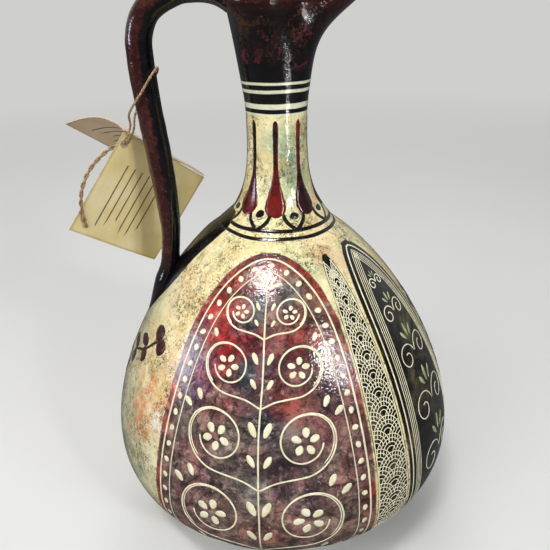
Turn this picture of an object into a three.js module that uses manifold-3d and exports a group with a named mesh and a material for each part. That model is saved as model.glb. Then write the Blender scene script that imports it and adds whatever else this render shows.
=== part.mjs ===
// A one-handled pottery vase of the jug form, with a folded card tag on a twine loop.
// Millimetres, +Z up. The origin is the middle of the flat base, the spout points along +X
// and the handle stands on the -X side.

import * as THREE from 'three';
import Module from 'manifold-3d';
import { mergeVertices } from 'three/addons/utils/BufferGeometryUtils.js';

// Body: a round, low belly on a narrow flat base
const baseRadius = 42;
const bellyRadius = 85.7;
const bellyHeight = 52;
const shoulderRadius = 26.1;
const shoulderHeight = 157;
const bodyWall = 4.6;
const floorThickness = 6.5;

// Neck: luted on the shoulder, waisted, and straight up to the mouth
const neckRadius = 13.1;
const neckWaistHeight = 200;
const neckTopRadius = 13.8;
const neckTopHeight = 213;
const neckWall = 4;

// Mouth: flared, with a spout, two side lobes and a rolled lip
const rimHeight = 252.5;
const mouthFlare = 5.6;
const spoutReach = 17.5;
const spoutLift = 5;
const sideLobeReach = 7;
const pinchDepth = 2.6;
const spoutAngle = 0;
const pinchAngle = 56;
const sideLobeAngle = 112;
const spoutSpread = 34;
const pinchSpread = 20;
const sideLobeSpread = 36;
const mouthWall = 3.8;
const lipRadius = 2.7;

// Handle: a pulled rod of oval section that springs from the back of the rim
const handleReach = 55.9;
const handleTop = 254.7;
const handleThickness = 11;
const handleLowThickness = 8.4;
const handleWidth = 12;
const handleRimWidth = 19;
const handleRootWidth = 17;
const handleRootHeight = 125;
const lutingGap = 0.3;

// Twine: jute, one strand round the handle, both ends laid together below the hole
const twineDiameter = 1.1;
const twineTailDiameter = 2;

// Tag: one card folded in two, hung by a hole near the fold
const cardWidth = 53;
const cardLength = 50.7;
const cardThickness = 0.36;
const cardHoleDiameter = 4;
const cardHoleFromSide = 3.3;
const cardHoleFromFold = 4.9;
const foldGap = 0.3;

// The tag's fold: its near corner, and the directions along the fold and down the front leaf
const tagCorner = new THREE.Vector3(-67.2, 1.2, 199.1);
const alongFold = new THREE.Vector3(0.5562, 0.6035, -0.5713).normalize();
const downLeaf = new THREE.Vector3(-0.5373, -0.2637, -0.8011).normalize();
const throughLeaf = new THREE.Vector3().crossVectors(alongFold, downLeaf).normalize();

// Fineness of the facets
const turnSteps = 56;
const neckSteps = 40;
const mouthSteps = 48;
const mouthRings = 11;
const lipSteps = 6;
const handleSteps = 46;
const handleSides = 12;
const twineSides = 8;

const earthenware = { roughness: 0.22, metalness: 0 };
const creamGlaze = new THREE.MeshStandardMaterial({ color: 0xd8c99a, ...earthenware });
const bandedGlaze = new THREE.MeshStandardMaterial({ color: 0xcfc394, ...earthenware });
const blackGlaze = new THREE.MeshStandardMaterial({ color: 0x1d1012, ...earthenware });
const brownGlaze = new THREE.MeshStandardMaterial({ color: 0x3a1a1c, ...earthenware });
const jute = new THREE.MeshStandardMaterial({ color: 0xa98a62, roughness: 0.9, metalness: 0 });
const card = new THREE.MeshStandardMaterial({ color: 0xc9b184, roughness: 0.8, metalness: 0 });

const wasm = await Module();
wasm.setup();

// Outside of the vase in one sweep, as (radius, height), from the base edge to the neck top
function vaseOutline() {
  const baseSpread = bellyRadius - baseRadius;
  const shoulderRise = shoulderHeight - bellyHeight;
  const shoulderSlope = 0.69;
  const shoulderPull = 0.2 * shoulderRise;
  const neckPull = 0.89 * (shoulderRadius - neckRadius);
  const waistRise = neckWaistHeight - shoulderHeight;
  const outline = new THREE.Path();
  outline.moveTo(baseRadius, 0);
  outline.bezierCurveTo(
    baseRadius + 0.58 * baseSpread, 0.4 * bellyHeight,
    bellyRadius, 0.54 * bellyHeight,
    bellyRadius, bellyHeight,
  );
  outline.bezierCurveTo(
    bellyRadius, bellyHeight + 0.32 * shoulderRise,
    shoulderRadius + shoulderPull / shoulderSlope, shoulderHeight - shoulderPull,
    shoulderRadius, shoulderHeight,
  );
  outline.bezierCurveTo(
    shoulderRadius - neckPull, shoulderHeight + neckPull * 1.2,
    neckRadius, neckWaistHeight - 0.47 * waistRise,
    neckRadius, neckWaistHeight,
  );
  outline.bezierCurveTo(
    neckRadius, neckWaistHeight + 0.4 * (neckTopHeight - neckWaistHeight),
    neckTopRadius - 0.4, neckTopHeight - 0.3 * (neckTopHeight - neckWaistHeight),
    neckTopRadius, neckTopHeight,
  );
  const points = [];
  const stepsOfCurve = [9, 13, 9, 3];
  outline.curves.forEach((curve, index) => {
    const found = curve.getPoints(stepsOfCurve[index]);
    points.push(...(index === 0 ? found : found.slice(1)));
  });
  return points;
}

// The same line moved sideways: inwards for a positive distance, outwards for a negative one
function offsetLine(points, distance) {
  return points.map((point, index) => {
    const before = points[Math.max(index - 1, 0)];
    const after = points[Math.min(index + 1, points.length - 1)];
    const along = new THREE.Vector2().subVectors(after, before).normalize();
    return new THREE.Vector2(point.x - along.y * distance, point.y + along.x * distance);
  });
}

// Radius of an outline at a height
function radiusAt(points, height) {
  for (let index = 1; index < points.length; index += 1) {
    const low = points[index - 1];
    const high = points[index];
    if (low.y <= height && height <= high.y) {
      return THREE.MathUtils.mapLinear(height, low.y, high.y, low.x, high.x);
    }
  }
  return points[points.length - 1].x;
}

const outside = vaseOutline();

// A turned piece that stands along Z
function turned(profile, steps) {
  return new THREE.LatheGeometry(profile, steps).rotateX(Math.PI / 2);
}

// Body
function makeBody() {
  const wallOutside = outside.filter((point) => point.y <= shoulderHeight);
  const inside = offsetLine(outside, bodyWall)
    .filter((point) => point.y > floorThickness + 1 && point.y < shoulderHeight - 1);
  const profile = [
    new THREE.Vector2(0, 0),
    ...wallOutside,
    new THREE.Vector2(shoulderRadius - 1.25 * bodyWall, shoulderHeight),
    ...inside.reverse(),
    new THREE.Vector2(inside[inside.length - 1].x - 2.5, floorThickness),
    new THREE.Vector2(0, floorThickness),
  ];
  return turned(profile, turnSteps);
}

// Neck
function makeNeck() {
  const wallOutside = outside.filter((point) => point.y >= shoulderHeight);
  const inside = offsetLine(outside, neckWall)
    .filter((point) => point.y > shoulderHeight + 1 && point.y < neckTopHeight - 1);
  const profile = [
    ...wallOutside,
    new THREE.Vector2(neckTopRadius - neckWall, neckTopHeight),
    ...inside.reverse(),
    new THREE.Vector2(shoulderRadius - 1.25 * bodyWall, shoulderHeight),
    wallOutside[0],
  ];
  return turned(profile, neckSteps);
}

// How far the rim reaches out at an angle, in degrees from the spout
function lobeAt(angle) {
  const bump = (middle, spread) => Math.exp(-(((Math.abs(angle) - middle) / spread) ** 2));
  return spoutReach * bump(spoutAngle, spoutSpread)
    + sideLobeReach * bump(sideLobeAngle, sideLobeSpread)
    - pinchDepth * bump(pinchAngle, pinchSpread);
}

// Outside of the mouth at an angle, from the neck joint to the root of the lip
function mouthLine(angle) {
  const top = rimHeight + spoutLift * Math.exp(-((angle / spoutSpread) ** 2)) - lipRadius;
  const points = [];
  for (let ring = 0; ring <= mouthRings; ring += 1) {
    const rise = ring / mouthRings;
    const flare = 0.5 - 0.5 * Math.cos(Math.PI * rise ** 2.4);
    const radius = neckTopRadius + mouthFlare * rise + lobeAt(angle) * flare;
    points.push(new THREE.Vector2(radius, neckTopHeight + (top - neckTopHeight) * rise));
  }
  return points;
}

// A closed skin over rings of points, which joins the last ring to the first or caps both ends
function skin(rings, closesOnItself) {
  const count = rings[0].length;
  const positions = rings.flat().flatMap((point) => [point.x, point.y, point.z]);
  const faces = [];
  const last = closesOnItself ? rings.length : rings.length - 1;
  for (let ring = 0; ring < last; ring += 1) {
    const here = ring * count;
    const next = ((ring + 1) % rings.length) * count;
    for (let step = 0; step < count; step += 1) {
      const turn = (step + 1) % count;
      faces.push(here + step, here + turn, next + turn);
      faces.push(here + step, next + turn, next + step);
    }
  }
  if (!closesOnItself) {
    const end = (rings.length - 1) * count;
    for (let step = 1; step < count - 1; step += 1) {
      faces.push(0, step + 1, step);
      faces.push(end, end + step, end + step + 1);
    }
  }
  const geometry = new THREE.BufferGeometry();
  geometry.setAttribute('position', new THREE.Float32BufferAttribute(positions, 3));
  geometry.setIndex(faces);
  return geometry;
}

// Rings round the axis from a line that changes with the angle
function ringsRound(lineAt, steps) {
  const lines = [];
  for (let step = 0; step < steps; step += 1) {
    const degrees = (360 * step) / steps;
    const angle = degrees > 180 ? degrees - 360 : degrees;
    const turn = THREE.MathUtils.degToRad(angle);
    lines.push(lineAt(angle).map((point) => new THREE.Vector3(
      point.x * Math.cos(turn), point.x * Math.sin(turn), point.y)));
  }
  return lines[0].map((unused, row) => lines.map((line) => line[row]));
}

// Mouth
function mouthSection(angle) {
  const wall = mouthLine(angle);
  const inside = offsetLine(wall, mouthWall);
  inside[0] = new THREE.Vector2(neckTopRadius - neckWall, neckTopHeight);
  const end = wall[wall.length - 1];
  const innerEnd = inside[inside.length - 1];
  const lip = [];
  for (let step = 0; step <= lipSteps; step += 1) {
    const turn = THREE.MathUtils.degToRad(-25 + (185 * step) / lipSteps);
    const middle = new THREE.Vector2().addVectors(end, innerEnd).multiplyScalar(0.5);
    lip.push(new THREE.Vector2(
      middle.x + (lipRadius + 0.6) * Math.cos(turn), end.y + lipRadius * Math.sin(turn)));
  }
  return [...wall.slice(0, -1), ...lip, ...inside.slice(0, -1).reverse()];
}

function makeMouth() {
  return skin(ringsRound(mouthSection, mouthSteps), true);
}

// The vase with no hollow and a little larger, to cut the ends of the handle by
function filledVase(clearance) {
  const lineAt = (angle) => {
    const mouthOutside = mouthSection(angle).slice(1, mouthRings + 1 + lipSteps);
    const line = [...outside, ...mouthOutside];
    return offsetLine(line, -clearance).filter((point) => point.y > 0);
  };
  return skin(ringsRound(lineAt, mouthSteps), false);
}

// Handle
function handleStations() {
  const rootRadius = radiusAt(outside, handleRootHeight);
  const drop = handleTop - handleRootHeight;
  const backOfRim = mouthLine(180)[mouthRings].x;
  const low = handleLowThickness;
  return [
    { out: backOfRim - 5, height: rimHeight - 6, thick: handleThickness - 1, wide: handleRimWidth },
    { out: backOfRim + 3, height: handleTop - 1.6, thick: handleThickness, wide: handleRimWidth - 3 },
    { out: backOfRim + 12, height: handleTop, thick: handleThickness, wide: handleWidth + 1 },
    { out: handleReach - 16, height: handleTop - 1.2, thick: handleThickness, wide: handleWidth },
    { out: handleReach - 5, height: handleTop - 7.5, thick: handleThickness, wide: handleWidth },
    { out: handleReach - 0.6, height: handleTop - 16.5, thick: handleThickness, wide: handleWidth },
    { out: handleReach, height: handleTop - 28, thick: handleThickness, wide: handleWidth },
    { out: handleReach - 3.4, height: handleTop - 0.53 * drop, thick: handleThickness, wide: handleWidth },
    { out: handleReach - 4.8, height: handleTop - 0.69 * drop, thick: 0.9 * handleThickness, wide: handleWidth },
    { out: handleReach - 4.9, height: handleTop - 0.78 * drop, thick: low + 0.4, wide: handleWidth },
    { out: handleReach - 3.7, height: handleTop - 0.87 * drop, thick: low, wide: handleWidth + 1.5 },
    { out: rootRadius - 1, height: handleRootHeight + 1, thick: low + 1, wide: handleRootWidth },
    { out: rootRadius + 1, height: handleRootHeight - 13, thick: low, wide: handleRootWidth - 2 },
  ];
}

// One value of the stations, read smoothly along the handle
function alongStations(values, share) {
  const curve = new THREE.SplineCurve(values.map((value, index) => new THREE.Vector2(index, value)));
  return curve.getPoint(share).y;
}

function handleRings() {
  const stations = handleStations();
  const middle = new THREE.CatmullRomCurve3(
    stations.map((station) => new THREE.Vector3(-station.out, 0, station.height)), false, 'centripetal');
  const rings = [];
  for (let step = 0; step <= handleSteps; step += 1) {
    const share = step / handleSteps;
    const place = middle.getPoint(share);
    const along = middle.getTangent(share);
    const across = new THREE.Vector3(0, 1, 0);
    const outward = new THREE.Vector3().crossVectors(across, along);
    const thick = alongStations(stations.map((station) => station.thick), share) / 2;
    const wide = alongStations(stations.map((station) => station.wide), share) / 2;
    const ring = [];
    for (let side = 0; side < handleSides; side += 1) {
      const turn = (2 * Math.PI * side) / handleSides;
      ring.push(place.clone()
        .addScaledVector(outward, thick * Math.sin(turn))
        .addScaledVector(across, -wide * Math.cos(turn)));
    }
    rings.push(ring);
  }
  return rings;
}

function solidOf(geometry) {
  const bare = geometry.clone();
  bare.deleteAttribute('normal');
  bare.deleteAttribute('uv');
  const merged = mergeVertices(bare, 1e-4);
  return new wasm.Manifold(new wasm.Mesh({
    numProp: 3,
    vertProperties: new Float32Array(merged.attributes.position.array),
    triVerts: new Uint32Array(merged.index.array),
  }));
}

function geometryOf(solid) {
  const mesh = solid.getMesh();
  const geometry = new THREE.BufferGeometry();
  geometry.setAttribute('position', new THREE.Float32BufferAttribute(mesh.vertProperties, 3));
  geometry.setIndex(new THREE.Uint32BufferAttribute(mesh.triVerts, 1));
  geometry.computeVertexNormals();
  return geometry;
}

function makeHandle() {
  const rod = solidOf(skin(handleRings(), false));
  const vase = solidOf(filledVase(lutingGap));
  const cut = rod.subtract(vase);
  const pieces = cut.decompose();
  pieces.sort((one, two) => two.volume() - one.volume());
  return geometryOf(pieces[0]);
}

// A point of the tag: along the fold, down the front leaf and behind it
function onTag(along, down, behind) {
  return tagCorner.clone()
    .addScaledVector(alongFold, along)
    .addScaledVector(downLeaf, down)
    .addScaledVector(throughLeaf, behind);
}

function round(diameter, sides) {
  const section = new THREE.Shape();
  section.absarc(0, 0, diameter / 2, 0, 2 * Math.PI, false);
  const points = section.getPoints(sides / 2).slice(0, -1);
  return new THREE.Shape(points);
}

function cordAlong(points, diameter, steps) {
  const route = new THREE.CatmullRomCurve3(points, false, 'centripetal');
  return new THREE.ExtrudeGeometry(round(diameter, twineSides), {
    steps,
    extrudePath: route,
    curveSegments: 1,
  });
}

// Twine round the handle: down in front of it, back behind it, both ends through the hole
function makeTwineLoop() {
  const hole = { along: cardHoleFromSide, down: cardHoleFromFold };
  const beside = 0.65;
  const points = [
    onTag(hole.along - beside, hole.down, 0.95),
    onTag(hole.along - beside, hole.down - 0.1, 0),
    onTag(hole.along - beside - 0.2, hole.down - 1.2, -1),
    onTag(hole.along - 1.6, hole.down - 3.6, -1.7),
    onTag(hole.along - 3.1, hole.down - 8.3, -2.1),
    new THREE.Vector3(-62.9, -3.4, 206.7),
    new THREE.Vector3(-60.3, -5.8, 210.6),
    new THREE.Vector3(-55.6, -7.25, 216.4),
    new THREE.Vector3(-50.9, -5.9, 222.9),
    new THREE.Vector3(-49.4, 0, 225.2),
    new THREE.Vector3(-50.9, 5.9, 222.6),
    new THREE.Vector3(-55.6, 7.25, 216),
    new THREE.Vector3(-60.1, 6.1, 209.6),
    new THREE.Vector3(-62.3, 4.2, 204.9),
    onTag(hole.along - 0.9, hole.down - 8.1, -2),
    onTag(hole.along + 0.4, hole.down - 3.6, -1.7),
    onTag(hole.along + beside, hole.down - 1.2, -1),
    onTag(hole.along + beside, hole.down - 0.1, 0),
    onTag(hole.along + beside, hole.down, 0.95),
  ];
  return cordAlong(points, twineDiameter, 72);
}

// Twine end: from behind the hole, out past the side of the tag and over its front
function makeTwineTail() {
  const hole = { along: cardHoleFromSide, down: cardHoleFromFold };
  const points = [
    onTag(hole.along - 1, hole.down + 1.5, 1.75),
    onTag(hole.along - 2, hole.down + 2.8, 2),
    onTag(hole.along - 3.1, hole.down + 4.3, 2.1),
    onTag(hole.along - 4.3, hole.down + 6.1, 2),
    onTag(-2.2, 13.4, 1.75),
    onTag(-3.5, 16.6, 1.4),
    onTag(-4.5, 20, 1),
    onTag(-5.1, 23.5, 0.4),
    onTag(-5.2, 27, -0.3),
    onTag(-4.8, 30.5, -0.9),
    onTag(-3.8, 33.8, -1.4),
    onTag(-2.2, 36.9, -1.6),
    onTag(-0.2, 39.7, -1.65),
    onTag(2, 42.2, -1.6),
    onTag(4.2, 44.4, -1.55),
    onTag(6.4, 46.3, -1.5),
  ];
  return cordAlong(points, twineTailDiameter, 24);
}

// A flat leaf in its own plane, with the fold along x and the leaf down y
function tagMatrix() {
  return new THREE.Matrix4().makeBasis(alongFold, downLeaf, throughLeaf).setPosition(tagCorner);
}

function makeFrontLeaf() {
  const leaf = new THREE.Shape();
  leaf.moveTo(0, foldGap);
  leaf.lineTo(cardWidth, foldGap);
  leaf.lineTo(cardWidth, cardLength);
  leaf.lineTo(0, cardLength);
  leaf.closePath();
  const hole = new THREE.Path();
  hole.absarc(cardHoleFromSide, cardHoleFromFold, cardHoleDiameter / 2, 0, 2 * Math.PI, true);
  leaf.holes.push(hole);
  const geometry = new THREE.ExtrudeGeometry(leaf, {
    depth: cardThickness,
    bevelEnabled: false,
    curveSegments: 10,
  });
  geometry.translate(0, 0, -cardThickness / 2);
  return geometry.applyMatrix4(tagMatrix());
}

// The back leaf rises over the fold, runs back and droops at its far end
function makeBackLeaf() {
  const bend = new THREE.CubicBezierCurve(
    new THREE.Vector2(-0.35, 0),
    new THREE.Vector2(-2.6, 0.34 * cardLength),
    new THREE.Vector2(2.2, 0.62 * cardLength),
    new THREE.Vector2(0.26 * cardLength, 0.925 * cardLength),
  );
  const middle = bend.getPoints(12);
  const near = offsetLine(middle, cardThickness / 2);
  const far = offsetLine(middle, -cardThickness / 2).reverse();
  const edge = new THREE.Shape([...near, ...far]);
  const geometry = new THREE.ExtrudeGeometry(edge, { depth: cardWidth, bevelEnabled: false });
  const matrix = new THREE.Matrix4().makeBasis(downLeaf, throughLeaf, alongFold);
  return geometry.applyMatrix4(matrix.setPosition(tagCorner));
}

function named(name, geometry, material) {
  const mesh = new THREE.Mesh(geometry, material);
  mesh.name = name;
  return mesh;
}

const pottery = new THREE.Group();
pottery.add(named('body', makeBody(), creamGlaze));
pottery.add(named('neck', makeNeck(), bandedGlaze));
pottery.add(named('mouth', makeMouth(), blackGlaze));
pottery.add(named('handle', makeHandle(), brownGlaze));

const tag = new THREE.Group();
tag.add(named('twine_loop', makeTwineLoop(), jute));
tag.add(named('twine_tail', makeTwineTail(), jute));
tag.add(named('tag_front_leaf', makeFrontLeaf(), card));
tag.add(named('tag_back_leaf', makeBackLeaf(), card));

const vase = new THREE.Group();
vase.add(pottery, tag);

export default vase;
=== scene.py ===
import bisect
import math
import random

import bpy
from mathutils import Matrix, Vector, noise


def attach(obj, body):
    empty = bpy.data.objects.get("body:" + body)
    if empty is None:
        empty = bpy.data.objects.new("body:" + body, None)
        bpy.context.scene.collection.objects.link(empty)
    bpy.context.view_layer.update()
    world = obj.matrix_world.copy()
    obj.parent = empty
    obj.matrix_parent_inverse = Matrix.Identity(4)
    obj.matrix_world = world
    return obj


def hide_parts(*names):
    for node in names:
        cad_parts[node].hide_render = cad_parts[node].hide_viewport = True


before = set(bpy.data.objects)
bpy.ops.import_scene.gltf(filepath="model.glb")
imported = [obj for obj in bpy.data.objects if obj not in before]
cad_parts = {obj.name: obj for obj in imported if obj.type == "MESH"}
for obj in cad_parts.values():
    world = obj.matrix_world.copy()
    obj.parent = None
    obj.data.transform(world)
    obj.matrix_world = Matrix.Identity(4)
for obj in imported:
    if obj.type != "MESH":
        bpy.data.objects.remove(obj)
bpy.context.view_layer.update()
mm = 0.001
print("frame loaded")


# Small helpers for modelling by hand

def dropSelection():
    if bpy.context.object and bpy.context.object.mode != "OBJECT":
        bpy.ops.object.mode_set(mode="OBJECT")
    bpy.ops.object.select_all(action="DESELECT")


def pick(piece):
    dropSelection()
    piece.select_set(True)
    bpy.context.view_layer.objects.active = piece


def newPiece(name):
    # the primitive that was added last, under its own name
    piece = bpy.context.object
    piece.name = name
    piece.data.name = name
    return piece


def blend(start, end, share):
    return start + (end - start) * share


def neighbours(line, index):
    # the points before and after one of the line, or that one itself where the line ends
    return line[max(index - 1, 0)], line[min(index + 1, len(line) - 1)]


def bezierPoints(corners, steps):
    points = []
    for step in range(steps + 1):
        t = step / steps
        s = 1 - t
        weights = (s ** 3, 3 * s * s * t, 3 * s * t * t, t ** 3)
        points.append(tuple(sum(w * c[k] for w, c in zip(weights, corners)) for k in (0, 1)))
    return points


def smoothLine(points, stepsOf):
    # a centripetal curve through all the points, with stepsOf(a, b) steps from a to b
    ends = [points[0] * 2 - points[1]] + list(points) + [points[-1] * 2 - points[-2]]
    line = []
    for index in range(1, len(ends) - 2):
        a, b, c, d = ends[index - 1:index + 3]
        first, second, third = (max((q - p).length, 1e-6) ** 0.5 for p, q in ((a, b), (b, c), (c, d)))
        leave = ((b - a) / first - (c - a) / (first + second) + (c - b) / second) * second
        arrive = ((c - b) / second - (d - b) / (second + third) + (d - c) / third) * second
        steps = max(int(stepsOf(b, c)), 1)
        for step in range(steps):
            t = step / steps
            line.append(b * (2 * t ** 3 - 3 * t * t + 1) + leave * (t ** 3 - 2 * t * t + t)
                        + c * (3 * t * t - 2 * t ** 3) + arrive * (t ** 3 - t * t))
    line.append(points[-1].copy())
    return line


def evenLine(points, spacing):
    # the same line with its points set the same distance apart, and its length
    gaps = [0]
    for before, after in zip(points, points[1:]):
        gaps.append(gaps[-1] + (after - before).length)
    count = max(int(round(gaps[-1] / spacing)), 2)
    line, at = [], 0
    for step in range(count + 1):
        run = gaps[-1] * step / count
        while at < len(points) - 2 and gaps[at + 1] < run:
            at += 1
        share = (run - gaps[at]) / max(gaps[at + 1] - gaps[at], 1e-9)
        line.append(blend(points[at], points[at + 1], min(share, 1)))
    return line, gaps[-1]


def rolledSheet(name, rings, closedEnds=False):
    # a grid rolled into a tube, each row pulled to one ring; closedEnds also joins last row to first
    across = len(rings[0])
    rows = len(rings) + (1 if closedEnds else 0)
    dropSelection()
    bpy.ops.mesh.primitive_grid_add(x_subdivisions=across, y_subdivisions=rows - 1, size=1)
    piece = newPiece(name)
    places = []
    for row in range(rows):
        ring = rings[row % len(rings)]
        for column in range(across + 1):
            places.extend(ring[column % across])
    piece.data.vertices.foreach_set("co", places)
    piece.data.update()
    return piece


def spunWall(name, profile, steps):
    # a ring of points pulled to the wall's section, opened on the axis and spun round it
    dropSelection()
    bpy.ops.mesh.primitive_circle_add(vertices=len(profile), radius=1)
    piece = newPiece(name)
    places = []
    for radius, height in profile:
        places.extend((radius * mm, 0, height * mm))
    piece.data.vertices.foreach_set("co", places)
    bpy.ops.object.mode_set(mode="EDIT")
    bpy.ops.mesh.select_mode(type="EDGE")
    bpy.ops.mesh.select_all(action="DESELECT")
    bpy.ops.object.mode_set(mode="OBJECT")
    onAxis = [v.index for v in piece.data.vertices if v.co.x < 1e-6]
    for edge in piece.data.edges:
        edge.select = edge.vertices[0] in onAxis and edge.vertices[1] in onAxis
    bpy.ops.object.mode_set(mode="EDIT")
    if onAxis:
        bpy.ops.mesh.delete(type="EDGE")
    bpy.ops.mesh.select_all(action="SELECT")
    bpy.ops.mesh.spin(steps=steps, angle=2 * math.pi, center=(0, 0, 0), axis=(0, 0, 1))
    bpy.ops.object.mode_set(mode="OBJECT")
    return piece


def closePiece(piece, sharpFrom=38):
    # doubles merged, open ends filled, faces turned outwards
    pick(piece)
    bpy.ops.object.mode_set(mode="EDIT")
    bpy.ops.mesh.select_mode(type="VERT")
    bpy.ops.mesh.select_all(action="SELECT")
    bpy.ops.mesh.remove_doubles(threshold=2e-6)
    bpy.ops.mesh.select_all(action="DESELECT")
    bpy.ops.mesh.select_mode(type="EDGE")
    bpy.ops.mesh.select_non_manifold(extend=False, use_wire=False, use_multi_face=False,
                                     use_non_contiguous=False, use_verts=False)
    bpy.ops.mesh.edge_face_add()
    bpy.ops.mesh.select_mode(type="VERT")
    bpy.ops.mesh.select_all(action="SELECT")
    bpy.ops.mesh.normals_make_consistent(inside=False)
    bpy.ops.object.mode_set(mode="OBJECT")
    bpy.ops.object.shade_smooth_by_angle(angle=math.radians(sharpFrom))
    dropSelection()


def addField(piece, name, values):
    layer = piece.data.attributes.new(name, "FLOAT", "POINT")
    layer.data.foreach_set("value", values)


def setIn(piece, body, slot, *nodes):
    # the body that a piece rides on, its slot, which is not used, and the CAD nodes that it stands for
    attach(piece, body)
    if nodes:
        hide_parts(*nodes)


# Camera at the photograph's viewing angle: level with the mouth, looking down at the belly

photoView = {
    "place": (0.0002, -0.25, 0.2497),
    "pitch": 25.96, "yaw": -0.57, "roll": -1.35,
    "focalPixels": 565.8, "framePixels": 550, "sensor": 36, "nearest": 0.01, "farthest": 200,
}


def placeCamera():
    pitch, yaw, roll = (math.radians(photoView[k]) for k in ("pitch", "yaw", "roll"))
    ahead = Vector((math.sin(yaw) * math.cos(pitch), math.cos(yaw) * math.cos(pitch), -math.sin(pitch)))
    level = Vector((math.cos(yaw), -math.sin(yaw), 0))
    above = level.cross(ahead)
    right = math.cos(roll) * level + math.sin(roll) * above
    up = math.cos(roll) * above - math.sin(roll) * level
    bpy.ops.object.camera_add()
    camera = bpy.context.object
    camera.name = "photoCamera"
    turn = Matrix((right, up, -ahead)).transposed().to_4x4()
    camera.matrix_world = Matrix.Translation(photoView["place"]) @ turn
    camera.data.sensor_width = photoView["sensor"]
    camera.data.lens = photoView["sensor"] * photoView["focalPixels"] / photoView["framePixels"]
    camera.data.clip_start = photoView["nearest"]
    camera.data.clip_end = photoView["farthest"]
    bpy.context.scene.camera = camera


placeCamera()


# Materials: a small kit for wiring nodes, then one function for each finish

def paintColour(code):
    # a colour as it is seen, to the linear numbers that a shader takes
    parts = [int(code[k:k + 2], 16) / 255 for k in (0, 2, 4)]
    return tuple(p / 12.92 if p <= 0.04045 else ((p + 0.055) / 1.055) ** 2.4 for p in parts) + (1,)


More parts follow.
